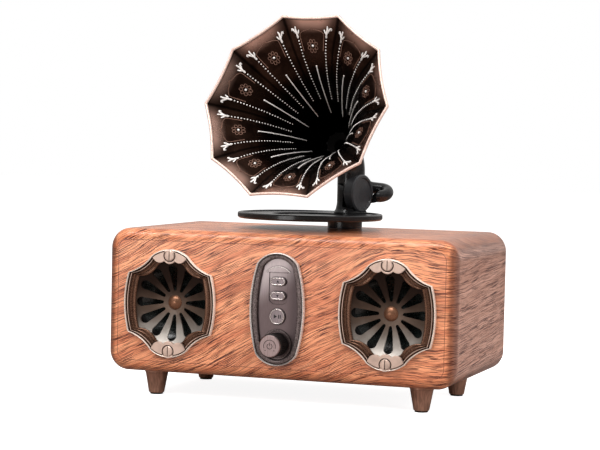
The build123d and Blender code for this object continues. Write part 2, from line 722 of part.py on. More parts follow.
KNUCKLE = Plane(
    origin=(POST_X, POST_Y, KNUCKLE_Z),
    x_dir=(0, 0, 1),
    z_dir=(math.cos(math.radians(KNUCKLE_YAW)), math.sin(math.radians(KNUCKLE_YAW)), 0),
)


def along_knuckle(radius, start, end):
    """A disc around the knuckle's axis between two distances from the post's axis."""
    return KNUCKLE * disc(radius, start, end)


def knuckle_block(start, end, low, high, half_width=20.0):
    """A block in the knuckle's frame: from start to end along the axis, low to high around Z = 0."""
    middle = Pos((low + high) / 2, 0, (start + end) / 2)
    return KNUCKLE * (middle * Box(high - low, 2 * half_width, end - start))


def arm_bracket():
    """The flared foot on the platter, ending in the left half of the knuckle."""
    low = PLATTER_FLOOR
    body = turned([
        (0, low), (14.0, low), (14.0, low + 1.2), (12.6, low + 3.4), (POST_R + 0.3, low + 7),
        (POST_R, low + 10), (POST_R, KNUCKLE_Z + POST_R), (0, KNUCKLE_Z + POST_R),
    ])
    body = at_post(body)
    body -= knuckle_block(-LUG_GAP, 25, -POST_R - 0.5, 30)
    body -= along_knuckle(DRUM_R + 0.4, DRUM_START - 0.3, 30)
    crown = knuckle_block(-25, 25, 0, 30) - along_knuckle(POST_R, -25, 25)
    body -= crown
    body -= along_knuckle(PIN_R + RUNNING_GAP, -25, 5)
    body -= along_knuckle(PIN_HEAD_R + 0.3, -25, -POST_R + 3.2)
    return body - at_swivel(disc(ARM_SCREW_R, low - 1, ARM_SCREW_TOP)) - platter()


def horn_axis():
    """Unit vector from the elbow out through the horn's mouth."""
    yaw, pitch = math.radians(HORN_YAW), math.radians(HORN_PITCH)
    return Vector(-math.sin(yaw) * math.cos(pitch), -math.cos(yaw) * math.cos(pitch), math.sin(pitch))


ELBOW = Vector(POST_X, POST_Y, ELBOW_Z)
HORN = Plane(
    origin=ELBOW + horn_axis() * HORN_LENGTH,
    x_dir=(math.cos(math.radians(HORN_YAW)), -math.sin(math.radians(HORN_YAW)), 0),
    z_dir=horn_axis(),
)


def on_horn(solid):
    """Place a solid turned around Z on the horn's axis; its heights are minus L."""
    return HORN * solid


def horn_elbow():
    """The upper post: the right half of the knuckle, the column and the bent socket for the horn."""
    start = Vector(POST_X, POST_Y, KNUCKLE_Z)
    end = ELBOW + horn_axis() * (HORN_LENGTH - NECK_END - LUG_GAP)
    path = FilletPolyline(start, ELBOW, end, radius=ELBOW_BEND_R)
    section = Plane(origin=start, z_dir=(0, 0, 1)) * Circle(POST_R)
    body = sweep(section, path=path)
    lower = at_post(disc(POST_R, KNUCKLE_Z - POST_R, KNUCKLE_Z))
    body += lower & along_knuckle(POST_R, LUG_GAP, DRUM_START - 0.05)
    body -= knuckle_block(-25, LUG_GAP, -30, 8)
    body -= along_knuckle(POST_R + 0.4, -25, LUG_GAP)
    body -= along_knuckle(DRUM_R + 0.05, DRUM_START - 0.05, 30)
    body -= along_knuckle(PIN_R, -5, 10)
    return body - on_horn(disc(SPIGOT_R + RUNNING_GAP, -SPIGOT_END - 2, -NECK_END + 5))


def knuckle_pin():
    """The bolt through both halves of the knuckle; its head sits in the left half."""
    return along_knuckle(PIN_R, -POST_R + 3.0, 8.0) + along_knuckle(PIN_HEAD_R, -POST_R + 1.0, -POST_R + 3.0)


def knuckle_drum():
    """The round cap nut: a raised ring around a sunk flat face."""
    drum = turned([
        (PIN_R, DRUM_START), (DRUM_R - 0.6, DRUM_START), (DRUM_R, DRUM_START + 0.6),
        (DRUM_R, DRUM_END - 1.2), (DRUM_R - 1.0, DRUM_END), (DRUM_R - 2.8, DRUM_END),
        (DRUM_R - 3.4, DRUM_END - 1.2), (0, DRUM_END - 1.2), (0, 8.0), (PIN_R, 8.0),
    ])
    return KNUCKLE * drum


def tube_points():
    """The gooseneck's route: out of the drum's back edge, round to the right and up into the column."""
    return [
        Vector(POST_X + 10, POST_Y + 4.5, 162.6), Vector(43.6, 63.0, 163.0), Vector(43.2, 75.2, 168.2),
        Vector(24.0, 75.0, 170.0), Vector(POST_X + 1, POST_Y + 6, 182.0),
    ]


def gooseneck_tube():
    """The bent tube from the drum back to the column, flared downwards at the drum, cut to meet both."""
    points = tube_points()
    path = FilletPolyline(*points, radius=TUBE_BEND_R)
    ahead = (points[1] - points[0]).normalized()
    tube = sweep(Plane(origin=points[0], z_dir=ahead) * Circle(TUBE_R), path=path)
    wide = Plane(origin=points[0] - Vector(0, 0, TUBE_FLARE), z_dir=ahead) * Circle(TUBE_R + TUBE_FLARE)
    narrow = Plane(origin=points[0] + ahead * TUBE_FLARE_LENGTH, z_dir=ahead) * Circle(TUBE_R)
    tube += loft([wide, narrow])
    tube -= along_knuckle(DRUM_R + 0.02, -20, 20)
    tube -= at_post(disc(POST_R + 0.02, KNUCKLE_Z - 20, ELBOW_Z))
    return tube.solids().sort_by(SortBy.VOLUME)[-1]


# ---------------------------------------------------------------- horn

def decagon(apothem, behind):
    """One cross-section of the bell: ten sides that bow gently inwards, L behind the rim."""
    frame = HORN.offset(-behind)
    corner_r = apothem / math.cos(math.pi / PETALS)
    middle_r = apothem * (1 - PETAL_BOW)
    points = []
    for i in range(PETALS):
        corner = math.radians(90 + (i - 0.5) * 360 / PETALS)
        middle = math.radians(90 + i * 360 / PETALS)
        points.append((corner_r * math.cos(corner), corner_r * math.sin(corner)))
        points.append((middle_r * math.cos(middle), middle_r * math.sin(middle)))
    return frame * arc_outline(points)


def bell_outside():
    """The bell's outer stations: the inner ones, moved out along the slope by the wall."""
    stations = [(0.0, BELL_STATIONS[0][1] + BELL_WALL)]
    for (la, ra), (lb, rb) in zip(BELL_STATIONS, BELL_STATIONS[1:]):
        slope = math.atan2(ra - rb, lb - la)
        behind = (la + lb) / 2 + BELL_WALL * math.sin(slope)
        stations.append((behind, (ra + rb) / 2 + BELL_WALL * math.cos(slope)))
    stations.append((BELL_LENGTH, BELL_STATIONS[-1][1] + BELL_WALL))
    return stations


def horn_bell():
    """The bell: a decagon at each station, joined by flat bands, with a thin wall."""
    outer = loft([decagon(r, behind) for behind, r in bell_outside()], ruled=True)
    inner = loft([decagon(r, behind) for behind, r in BELL_STATIONS], ruled=True)
    return outer - inner


def horn_rim():
    """The bead around the mouth, in front of the bell's edge."""
    ring = decagon(RIM_APOTHEM, 0) - decagon(RIM_APOTHEM - 2.1, 0)
    return extrude(ring, amount=RIM_T, dir=horn_axis())


def horn_neck():
    """The turned throat piece: a flange under the bell and the spigot that turns in the elbow."""
    neck = turned([
        (BELL_STATIONS[-1][1], -BELL_LENGTH), (NECK_R, -BELL_LENGTH),
        (NECK_R, -NECK_END), (SPIGOT_R, -NECK_END),
        (SPIGOT_R, -RING_L), (RING_SEAT_R, -RING_L), (RING_SEAT_R, -RING_L - RING_T),
        (SPIGOT_R, -RING_L - RING_T), (SPIGOT_R, -SPIGOT_END), (THROAT_R, -SPIGOT_END),
        (THROAT_R, -NECK_END),
    ])
    return on_horn(neck)


def neck_ring():
    """The friction ring in the spigot's groove, which keeps the horn where it is turned."""
    return on_horn(disc(SPIGOT_R + 0.03, -RING_L - RING_T, -RING_L, RING_SEAT_R))


# ---------------------------------------------------------------- every node

def nodes():
    """Every sub-part by name."""
    parts = {
        "cabinet_shell": cabinet_shell(),
        "front_baffle": front_baffle(),
        "rear_panel": rear_panel(),
        "rear_panel_screws": rear_panel_screws(),
        "main_board": main_board(),
        "usb_socket": usb_socket(),
        "aux_jack": aux_jack(),
        "battery_pack": battery_pack(),
        "foot_pads": foot_pads(),
        "foot_screws": foot_screws(),
        "bezel_screws": bezel_screws(),
        "driver_screws": driver_screws(),
        "control_panel_frame": control_panel_frame(),
        "control_panel_face": control_panel_face(),
        "button_up": pill_button(UP_Z),
        "button_down": pill_button(DOWN_Z),
        "mode_button": mode_button(),
        "tact_switches": tact_switches(),
        "control_board": control_board(),
        "board_screws": board_screws(),
        "encoder_body": encoder_body(),
        "encoder_plunger": encoder_plunger(),
        "encoder_shaft": encoder_shaft(),
        "knob_ring": knob_ring(),
        "volume_knob": volume_knob(),
        "knob_cap": knob_cap(),
        "arm_socket": arm_socket(),
        "swivel_stub": swivel_stub(),
        "swivel_screw": swivel_screw(),
        "platter": platter(),
        "platter_mat": platter_mat(),
        "arm_bracket": arm_bracket(),
        "knuckle_pin": knuckle_pin(),
        "knuckle_drum": knuckle_drum(),
        "horn_elbow": horn_elbow(),
        "gooseneck_tube": gooseneck_tube(),
        "horn_bell": horn_bell(),
        "horn_rim": horn_rim(),
        "horn_neck": horn_neck(),
        "neck_ring": neck_ring(),
    }
    for side, x in (("left", -GRILLE_X), ("right", GRILLE_X)):
        parts[f"grille_bezel_{side}"] = grille_bezel(x)
        parts[f"grille_plate_{side}"] = grille_plate(x)
        parts[f"grille_boss_{side}"] = grille_boss(x)
        parts[f"driver_basket_{side}"] = driver_basket(x)
        parts[f"driver_magnet_{side}"] = driver_magnet(x)
        parts[f"driver_cone_{side}"] = driver_cone(x)
        parts[f"driver_surround_{side}"] = driver_surround(x)
        parts[f"dust_cap_{side}"] = dust_cap(x)
    for x, y in foot_places():
        place = ("front" if y < 0 else "rear") + "_" + ("left" if x < 0 else "right")
        parts[f"foot_{place}"] = Pos(x, y, 0) * foot()
    return parts


os.makedirs("parts", exist_ok=True)
for node, solid in nodes().items():
    save(node, solid)
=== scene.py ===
"""The looks of the horn loudspeaker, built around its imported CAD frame.

Lengths are in millimetres until they reach Blender, which takes metres.
"""

import json
import math

import bpy
import numpy as np
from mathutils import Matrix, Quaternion, Vector


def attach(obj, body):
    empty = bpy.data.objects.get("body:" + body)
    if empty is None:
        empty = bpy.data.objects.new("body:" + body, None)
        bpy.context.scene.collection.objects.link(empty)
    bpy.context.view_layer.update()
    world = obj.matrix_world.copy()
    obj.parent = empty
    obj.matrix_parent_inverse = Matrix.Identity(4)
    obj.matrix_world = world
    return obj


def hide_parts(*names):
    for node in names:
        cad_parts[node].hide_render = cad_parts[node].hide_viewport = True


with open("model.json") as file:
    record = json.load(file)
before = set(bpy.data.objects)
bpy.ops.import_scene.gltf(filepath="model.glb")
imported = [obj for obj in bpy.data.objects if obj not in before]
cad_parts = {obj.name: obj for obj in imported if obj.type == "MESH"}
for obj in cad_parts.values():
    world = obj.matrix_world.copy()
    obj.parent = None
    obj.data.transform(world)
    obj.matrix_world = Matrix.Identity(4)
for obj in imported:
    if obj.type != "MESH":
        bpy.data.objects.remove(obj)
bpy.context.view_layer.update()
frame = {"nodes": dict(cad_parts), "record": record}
NODES = frame["nodes"]
MM = 0.001

# The CAD sizes that the pieces below follow, in millimetres in the object's frame
CABINET_W = 290.0
CABINET_H = 115.0
CABINET_MID = 78.1
FRONT = -71.6
SHELL_INSET = 9.0
GRILLE_X = 90.4
GRILLE_Z = 76.7
CAP_SCREW_Z = 38.2
CAP_RECESS_R = 5.0
PANEL_X = 0.8
PANEL_Z = 76.6
UP_Z = 98.4
DOWN_Z = 87.1
MODE_Z = 70.9
KNOB_Z = 49.0
BUTTON_FRONT = 1.6
PILL_W = 12.9
PILL_H = 6.6
MODE_R = 6.4
KNOB_FRONT = 17.14
ELBOW = Vector((16.0, 61.9, 196.4))
HORN_YAW = math.radians(6.3)
HORN_PITCH = math.radians(19.71)
HORN_LENGTH = 119.2
PETALS = 10
PETAL_BOW = 0.022
RIM_APOTHEM = 76.7
BELL_LENGTH = 88.0
BELL_WALL = 1.1
BELL_DEPTHS = [0, 4.5, 13, 26, 46, 67, 88]
BELL_APOTHEMS = [75.1, 68.5, 56.5, 44, 30.5, 19.3, 9.5]


def srgb(red, green, blue):
    """A colour given as 0 to 255, in the linear values that Blender's sockets take."""
    shares = [value / 255 for value in (red, green, blue)]
    return (*[s / 12.92 if s <= 0.04045 else ((s + 0.055) / 1.055) ** 2.4 for s in shares], 1.0)


# ---------------------------------------------------------------- materials

class Finish:
    """A node material being built; its textures follow the object's own coordinates, in millimetres."""

    def __init__(self, name, roughness, metallic=0.0, coat=0.0, coat_roughness=0.1, specular=0.5):
        self.material = bpy.data.materials.new(name)
        self.material.use_nodes = True
        self.tree = self.material.node_tree
        self.shader = self.tree.nodes["Principled BSDF"]
        self.set("Roughness", roughness)
        self.set("Metallic", metallic)
        self.set("Coat Weight", coat)
        self.set("Coat Roughness", coat_roughness)
        self.set("Specular IOR Level", specular)
        coordinates = self.tree.nodes.new("ShaderNodeTexCoord").outputs["Object"]
        self.mm = self.vector("SCALE", coordinates, scale=1 / MM)

    def set(self, socket, value):
        """Give a shader socket a constant, or the output of another node."""
        if isinstance(value, bpy.types.NodeSocket):
            self.tree.links.new(value, self.shader.inputs[socket])
        else:
            self.shader.inputs[socket].default_value = value

    def feed(self, node, socket, value):
        """Give a node's input a constant or the output of another node; None leaves it alone."""
        if isinstance(value, bpy.types.NodeSocket):
            self.tree.links.new(value, node.inputs[socket])
        elif value is not None:
            node.inputs[socket].default_value = value

    def vector(self, operation, first, second=None, scale=None):
        """The result of a vector operation."""
        node = self.tree.nodes.new("ShaderNodeVectorMath")
        node.operation = operation
        self.feed(node, 0, first)
        self.feed(node, 1, second)
        self.feed(node, "Scale", scale)
        return node.outputs["Value" if operation == "DOT_PRODUCT" else "Vector"]

    def math(self, operation, first, second=None):
        """The result of an operation on one or two numbers."""
        node = self.tree.nodes.new("ShaderNodeMath")
        node.operation = operation
        self.feed(node, 0, first)
        self.feed(node, 1, second)
        return node.outputs[0]

    def axes(self):
        """The x, y and z of the point being shaded, in millimetres."""
        node = self.tree.nodes.new("ShaderNodeSeparateXYZ")
        self.feed(node, 0, self.mm)
        return node.outputs[0], node.outputs[1], node.outputs[2]

    def place(self, x, y):
        """A flat place for a texture, from two numbers."""
        node = self.tree.nodes.new("ShaderNodeCombineXYZ")
        self.feed(node, "X", x)
        self.feed(node, "Y", y)
        return node.outputs[0]

    def noise(self, size, detail=3.0, vector=None, roughness=0.55, stretch=None):
        """Noise with features about `size` millimetres across, stretched by three factors if given."""
        where = self.mm if vector is None else vector
        if stretch:
            where = self.vector("DIVIDE", where, stretch)
        node = self.tree.nodes.new("ShaderNodeTexNoise")
        self.feed(node, "Vector", where)
        self.feed(node, "Scale", 1 / size)
        self.feed(node, "Detail", detail)
        self.feed(node, "Roughness", roughness)
        return node.outputs["Fac"]

    def spread(self, value, low, high, to_low=0.0, to_high=1.0):
        """Map low to high smoothly onto another range, clamped."""
        node = self.tree.nodes.new("ShaderNodeMapRange")
        node.interpolation_type = "SMOOTHSTEP"
        for index, item in enumerate((value, low, high, to_low, to_high)):
            self.feed(node, index, item)
        return node.outputs[0]

    def mix(self, share, first, second):
        """A colour between two colours."""
        node = self.tree.nodes.new("ShaderNodeMix")
        node.data_type = "RGBA"
        self.feed(node, 0, share)
        self.feed(node, 6, first)
        self.feed(node, 7, second)
        return node.outputs[2]

    def blend(self, share, first, second):
        """A number between two numbers."""
        node = self.tree.nodes.new("ShaderNodeMix")
        self.feed(node, 0, share)
        self.feed(node, 2, first)
        self.feed(node, 3, second)
        return node.outputs[0]

    def crevice(self, reach):
        """0 in corners and grooves narrower than the reach, 1 on open surfaces."""
        node = self.tree.nodes.new("ShaderNodeAmbientOcclusion")
        node.samples = 8
        self.feed(node, "Distance", reach * MM)
        return self.spread(node.outputs["AO"], 0.35, 0.95)

    def bump(self, height, depth, strength=1.0):
        """Bump the surface by a height from 0 to 1 that stands for this depth in millimetres."""
        node = self.tree.nodes.new("ShaderNodeBump")
        self.feed(node, "Strength", strength)
        self.feed(node, "Distance", depth * MM)
        self.feed(node, "Height", height)
        self.set("Normal", node.outputs[0])


CABINET_TOP = CABINET_MID + CABINET_H / 2
LEVEL_X = 85.0
LEFT_CLIMB = 0.47
RIGHT_CLIMB = 0.06
CORNER_X = 150.0
STREAK = srgb(84, 28, 10)
FIBRE = srgb(160, 86, 56)
# Painted shade for the front corners and the top and bottom beside the sides
PAINTED_EDGE_SHADE = srgb(70, 24, 12)
FRONT_LIGHT, FRONT_WARM = srgb(255, 172, 124), srgb(220, 130, 88)
SIDE_LIGHT, SIDE_WARM = srgb(240, 186, 164), srgb(208, 154, 132)


def wood_grain(finish, along, height):
    """Places for the grain's textures: x runs along it, climbing at the left, nearly level at the right."""
    from_level = finish.math("SUBTRACT", along, LEVEL_X)
    left = finish.math("MULTIPLY", from_level, LEFT_CLIMB)
    right = finish.math("MULTIPLY", from_level, RIGHT_CLIMB)
    climb = finish.blend(finish.spread(along, 40.0, 130.0), left, right)
    level = finish.math("SUBTRACT", height, climb)
    past_corner = finish.math("MAXIMUM", finish.math("SUBTRACT", along, CORNER_X), 0.0)
    length = finish.math("SUBTRACT", along, finish.math("MULTIPLY", past_corner, 0.55))
    flat = finish.place(along, height)
    sway = finish.math("MULTIPLY", finish.math("SUBTRACT", finish.noise(80.0, 1.0, flat), 0.5), 18.0)
    ripple = finish.math("MULTIPLY", finish.math("SUBTRACT", finish.noise(18.0, 2.0, flat), 0.5), 2.2)
    calm = finish.spread(along, 140.0, 190.0, 1.0, 0.3)
    waves = finish.math("MULTIPLY", finish.math("ADD", sway, ripple), calm)
    return finish.place(length, finish.math("ADD", level, waves))


def wood_painted_edge_shade(finish, aside, back):
    """Painted shade: darker colour on the front corners and on the edges where the top and bottom meet the
    sides.
    """
    nearing = finish.spread(aside, 137.0, 141.0)
    corner = finish.math("MULTIPLY", nearing, finish.spread(back, 4.0, 10.0, 1.0, 0.0))
    before_side = finish.spread(aside, 142.0, 145.0, 1.0, 0.0)
    turned = finish.math("MULTIPLY", finish.spread(aside, 108.0, 137.0), before_side)
    edge = finish.math("MULTIPLY", turned, finish.spread(back, 2.0, 8.0))
    return finish.math("MAXIMUM", finish.math("MULTIPLY", corner, 0.65), finish.math("MULTIPLY", edge, 0.5))


def wood():
    """Lacquered wood: dark flecks climb the front to its level right end and run back along grey sides."""
    finish = Finish("wood", 0.34, coat=0.5, coat_roughness=0.18)
    x, y, z = finish.axes()
    aside = finish.math("ABSOLUTE", x)
    back = finish.math("SUBTRACT", y, FRONT)
    along = finish.math("ADD", x, back)
    on_top = finish.math("MULTIPLY", back, finish.spread(z, CABINET_TOP - 20.0, CABINET_TOP - 1.0))
    grain = wood_grain(finish, along, finish.math("ADD", z, on_top))
    flecks = finish.noise(1.0, 1.0, grain, 0.5, stretch=(15.0, 0.55, 1.0))
    long_flecks = finish.noise(1.0, 1.0, grain, 0.5, stretch=(30.0, 0.7, 1.0))
    fibres = finish.noise(1.0, 2.0, grain, 0.6, stretch=(9.0, 0.32, 1.0))
    bands = finish.noise(1.0, 3.0, grain, 0.5, stretch=(70.0, 7.0, 1.0))
    crowding = finish.noise(1.0, 2.0, grain, 0.5, stretch=(40.0, 10.0, 1.0))
    grey = finish.spread(aside, 141.0, 144.5)
    light = finish.mix(grey, FRONT_LIGHT, SIDE_LIGHT)
    warm = finish.mix(grey, FRONT_WARM, SIDE_WARM)
    pale = finish.mix(finish.spread(bands, 0.32, 0.68), light, warm)
    fine = finish.mix(finish.spread(fibres, 0.42, 0.72, 0.0, 0.45), pale, FIBRE)
    short = finish.spread(flecks, 0.565, 0.60)
    thick = finish.spread(long_flecks, 0.60, 0.635)
    clusters = finish.spread(crowding, 0.34, 0.56, 0.5, 1.0)
    streak = finish.math("MULTIPLY", finish.math("MAXIMUM", short, thick), clusters)
    colour = finish.mix(streak, fine, STREAK)
    # Painted shade darkens the front corners and the top and bottom edges beside the sides
    finish.set("Base Color", finish.mix(wood_painted_edge_shade(finish, aside, back), colour, PAINTED_EDGE_SHADE))
    finish.set("Roughness", finish.spread(fibres, 0.3, 0.8, 0.30, 0.46))
    relief = finish.math("SUBTRACT", finish.math("MULTIPLY", fibres, 0.25), streak)
    finish.bump(relief, 0.35, 0.75)
    return finish.material


def antique(name, bright, dark, roughness, grime, metallic=1.0):
    """Aged metal: bright where it is rubbed, dark in grooves narrower than the grime's reach, cloudy."""
    finish = Finish(name, roughness, metallic=metallic)
    clouds = finish.noise(9.0, 4.0)
    scratches = finish.noise(0.5, 2.0)
    worn = finish.math("MULTIPLY", finish.crevice(grime), finish.spread(clouds, 0.2, 0.6, 0.72, 1.0))
    finish.set("Base Color", finish.mix(worn, dark, bright))
    finish.set("Roughness", finish.spread(scratches, 0.3, 0.7, roughness - 0.06, roughness + 0.1))
    finish.bump(scratches, 0.03, 0.6)
    return finish.material


def pewter(name, bright, dark, grain):
    """Grey purple cast metal with fine speckles of the given size."""
    finish = Finish(name, 0.36, metallic=0.85)
    speckle = finish.noise(grain, 3.0)
    clouds = finish.noise(11.0, 3.0)
    tone = finish.math("MULTIPLY", finish.crevice(2.0), finish.spread(speckle, 0.3, 0.66, 0.25, 1.0))
    finish.set("Base Color", finish.mix(tone, dark, bright))
    finish.set("Roughness", finish.spread(clouds, 0.3, 0.7, 0.3, 0.44))
    finish.bump(speckle, 0.12, 0.7)
    return finish.material


def brushed(name, bright, dark, roughness, metallic=0.9, width=0.35):
    """Metal brushed or streaked up and down, with lines of about the given width."""
    finish = Finish(name, roughness, metallic=metallic)
    lines = finish.noise(width, 2.0, stretch=(1.0, 1.0, 22.0))
    shade = finish.noise(14.0, 2.0, stretch=(1.0, 1.0, 3.0))
    tone = finish.math("MULTIPLY", finish.spread(lines, 0.25, 0.7, 0.55, 1.0), finish.crevice(1.2))
    worn = finish.math("MULTIPLY", tone, finish.spread(shade, 0.2, 0.7, 0.8, 1.0))
    finish.set("Base Color", finish.mix(worn, dark, bright))
    finish.set("Roughness", finish.spread(lines, 0.2, 0.8, roughness - 0.05, roughness + 0.1))
    finish.bump(lines, 0.02, 0.5)
    return finish.material


def horn_bronze():
    """Dark bronze lacquer, with a painted copper highlight along the middle of each edge near the mouth,
    painted shade in the creases and along the rim, and painted shade darkening it to black towards the
    throat.
    """
    finish = Finish("horn_bronze", 0.3, metallic=1.0)
    axis = horn_axis()
    right = Vector((math.cos(HORN_YAW), -math.sin(HORN_YAW), 0))
    arm = finish.vector("SUBTRACT", finish.mm, tuple(ELBOW))
    depth = finish.math("SUBTRACT", HORN_LENGTH, finish.vector("DOT_PRODUCT", arm, tuple(axis)))
    across = finish.vector("DOT_PRODUCT", arm, tuple(right))
    upright = finish.vector("DOT_PRODUCT", arm, tuple(axis.cross(right)))
    turn = finish.math("ARCTAN2", across, upright)
    half = math.pi / PETALS
    petal = finish.math("FLOORED_MODULO", finish.math("ADD", turn, half), 2 * half)
    off = finish.math("ABSOLUTE", finish.math("SUBTRACT", petal, half))
    share = finish.math("DIVIDE", off, half)
    # Painted highlight: copper along the middle of each petal's edge near the mouth
    near_edge = finish.spread(depth, 0.3, 7.0, 1.0, 0.0)
    glow = finish.math("MULTIPLY", near_edge, finish.spread(share, 0.3, 0.95, 1.0, 0.1))
    clouds = finish.noise(14.0, 3.0)
    brown = finish.mix(finish.spread(clouds, 0.35, 0.7), srgb(66, 46, 37), srgb(40, 26, 21))
    lit = finish.mix(glow, brown, srgb(232, 186, 168))
    # Painted shade: darker further down the bell and black in the throat
    painted_depth_shade = finish.mix(finish.spread(depth, 8.0, 44.0), lit, srgb(18, 11, 9))
    black = finish.mix(finish.spread(depth, 55.0, 80.0), painted_depth_shade, srgb(3, 2, 2))
    # Painted shade along the rim and in the creases between petals
    edge = finish.spread(depth, 0.0, 0.9, 0.9, 0.0)
    painted_crease_shade = finish.math("MULTIPLY", finish.spread(share, 0.9, 0.985), 0.85)
    finish.set("Base Color", finish.mix(finish.math("MAXIMUM", painted_crease_shade, edge), black, srgb(12, 7, 5)))
    finish.set("Roughness", finish.spread(clouds, 0.3, 0.7, 0.24, 0.36))
    finish.bump(finish.noise(0.7, 2.0), 0.02, 0.5)
    return finish.material


def grille_bronze():
    """The grille dish, with painted shade: dark brown above, running out to a painted pale silver reflection
    at its lower edge.
    """
    finish = Finish("grille_dish", 0.36, metallic=0.7)
    height = finish.axes()[2]
    clouds = finish.math("MULTIPLY", finish.math("SUBTRACT", finish.noise(12.0, 3.0), 0.5), 16.0)
    level = finish.math("ADD", height, clouds)
    # Painted reflection below and painted shade above, by height
    lower = finish.mix(finish.spread(level, 44.0, 72.0), srgb(190, 182, 174), srgb(104, 86, 74))
    whole = finish.mix(finish.spread(level, 70.0, 94.0), lower, srgb(44, 30, 23))
    finish.set("Base Color", finish.mix(finish.crevice(3.0), srgb(26, 18, 14), whole))
    finish.bump(finish.noise(0.5, 2.0), 0.03, 0.6)
    return finish.material


def panel_bronze():
    """The control panel's face: brushed up and down, with a painted reflection making it pale at the top and
    painted shade darker at the right and below.
    """
    finish = Finish("panel_face", 0.34, metallic=0.8)
    across, _, height = finish.axes()
    lines = finish.noise(0.35, 2.0, stretch=(1.0, 1.0, 22.0))
    # Painted reflection at the top, painted shade at the right and below
    level = finish.math("SUBTRACT", height, finish.math("MULTIPLY", across, 0.6))
    base = finish.mix(finish.spread(level, 84.0, 112.0), srgb(122, 106, 106), srgb(206, 192, 192))
    shade = finish.mix(finish.spread(across, 5.0, 15.0, 0.0, 0.55), base, srgb(66, 56, 58))
    tone = finish.math("MULTIPLY", finish.spread(lines, 0.2, 0.8, 0.75, 1.0), finish.crevice(1.2))
    finish.set("Base Color", finish.mix(tone, srgb(46, 38, 40), shade))
    finish.set("Roughness", finish.spread(lines, 0.2, 0.8, 0.3, 0.44))
    finish.bump(lines, 0.02, 0.5)
    return finish.material


def plastic(name, colour, roughness, grain=0.4, depth=0.02, coat=0.0):
    """Moulded plastic or paint with a fine texture and slightly uneven gloss."""
    finish = Finish(name, roughness, coat=coat)
    texture = finish.noise(grain, 3.0)
    clouds = finish.noise(12.0, 2.0)
    lighter = tuple(min(channel * 1.35, 1.0) for channel in colour[:3]) + (1.0,)
    finish.set("Base Color", finish.mix(finish.spread(clouds, 0.3, 0.7), colour, lighter))
    finish.set("Roughness", finish.spread(texture, 0.3, 0.7, roughness - 0.05, roughness + 0.08))
    finish.bump(texture, depth, 0.6)
    return finish.material


def board():
    """Green circuit board with a weave and tinned tracks."""
    finish = Finish("board_green", 0.4, coat=0.4)
    tracks = finish.spread(finish.noise(2.2, 0.0, stretch=(4.0, 1.0, 1.0)), 0.58, 0.6)
    weave = finish.noise(0.5, 1.0)
    solder = finish.mix(finish.spread(weave, 0.3, 0.7), srgb(16, 84, 44), srgb(22, 100, 54))
    finish.set("Base Color", finish.mix(tracks, solder, srgb(46, 132, 78)))
    finish.bump(tracks, 0.04)
    return finish.material


def horn_axis():
    """Unit vector from the elbow out through the horn's mouth."""
    level = math.cos(HORN_PITCH)
    return Vector((-math.sin(HORN_YAW) * level, -math.cos(HORN_YAW) * level, math.sin(HORN_PITCH)))


FINISHES = {
    "wood": wood(),
    "bronze_trim": antique("bronze_trim", srgb(126, 92, 74), srgb(12, 6, 4), 0.26, 2.6, 0.85),
    "pewter_trim": brushed("pewter_trim", srgb(172, 158, 160), srgb(58, 50, 52), 0.34),
    "copper_trim": antique("copper_trim", srgb(158, 112, 86), srgb(44, 24, 16), 0.32, 2.5, 0.8),
    "horn_bronze": horn_bronze(),
    "horn_rim_copper": antique("horn_rim_copper", srgb(250, 218, 204), srgb(150, 108, 92), 0.3, 1.2, 0.4),
    "black_satin": plastic("black_satin", srgb(20, 20, 21), 0.26, coat=0.3),
    "foot_bronze": brushed("foot_bronze", srgb(206, 156, 132), srgb(52, 28, 20), 0.34, 0.6, 1.5),
    "rubber": plastic("rubber", srgb(26, 26, 26), 0.75, 0.6, 0.05),
    "screw_steel": antique("screw_steel", srgb(186, 186, 188), srgb(70, 70, 72), 0.3, 1.0),
    "driver_cone": plastic("driver_cone", srgb(22, 27, 25), 0.26, 0.9, 0.06, 0.5),
    "driver_metal": plastic("driver_metal", srgb(44, 46, 48), 0.35),
    "board_green": board(),
    "cell_wrap": plastic("cell_wrap", srgb(48, 84, 150), 0.3, 5.0, 0.05, 0.3),
    "socket_metal": antique("socket_metal", srgb(205, 205, 205), srgb(90, 90, 90), 0.2, 1.0),
    "rear_black": plastic("rear_black", srgb(44, 42, 41), 0.5, 0.9, 0.12),
}
EMBOSSING = antique("embossing_silver", srgb(255, 250, 246), srgb(190, 170, 160), 0.3, 0.5, 0.25)
FINE_LINES = antique("embossing_bronze", srgb(150, 114, 98), srgb(50, 32, 26), 0.3, 0.8, 0.5)
BEAD = antique("bronze_bead", srgb(255, 238, 224), srgb(120, 80, 62), 0.24, 1.6, 0.35)
CAP_PLATE = antique("bronze_cap", srgb(216, 188, 172), srgb(70, 44, 34), 0.36, 1.6, 0.55)
PANEL_BORDER = pewter("pewter_border", srgb(132, 118, 116), srgb(26, 21, 20), 0.8)
PANEL_BEAD = antique("pewter_bead", srgb(250, 242, 236), srgb(110, 94, 90), 0.24, 1.2, 0.6)
DISH = grille_bronze()
PANEL_FACE = panel_bronze()
DRUM = plastic("drum_satin", srgb(50, 50, 52), 0.3, coat=0.3)
# Painted shade: the bronze neck is coloured near black so the throat looks unlit
THROAT_SHADE = plastic("throat_painted_shade", srgb(9, 7, 6), 0.5)
KNOB_SIDE = plastic("knob_black", srgb(12, 9, 9), 0.36)
KNOB_FACE = brushed("knob_face", srgb(188, 166, 164), srgb(100, 82, 80), 0.34)
BUTTON_RIM = antique("button_rim", srgb(246, 236, 232), srgb(140, 122, 120), 0.22, 0.8)
INK = plastic("ink_black", srgb(22, 19, 20), 0.45)

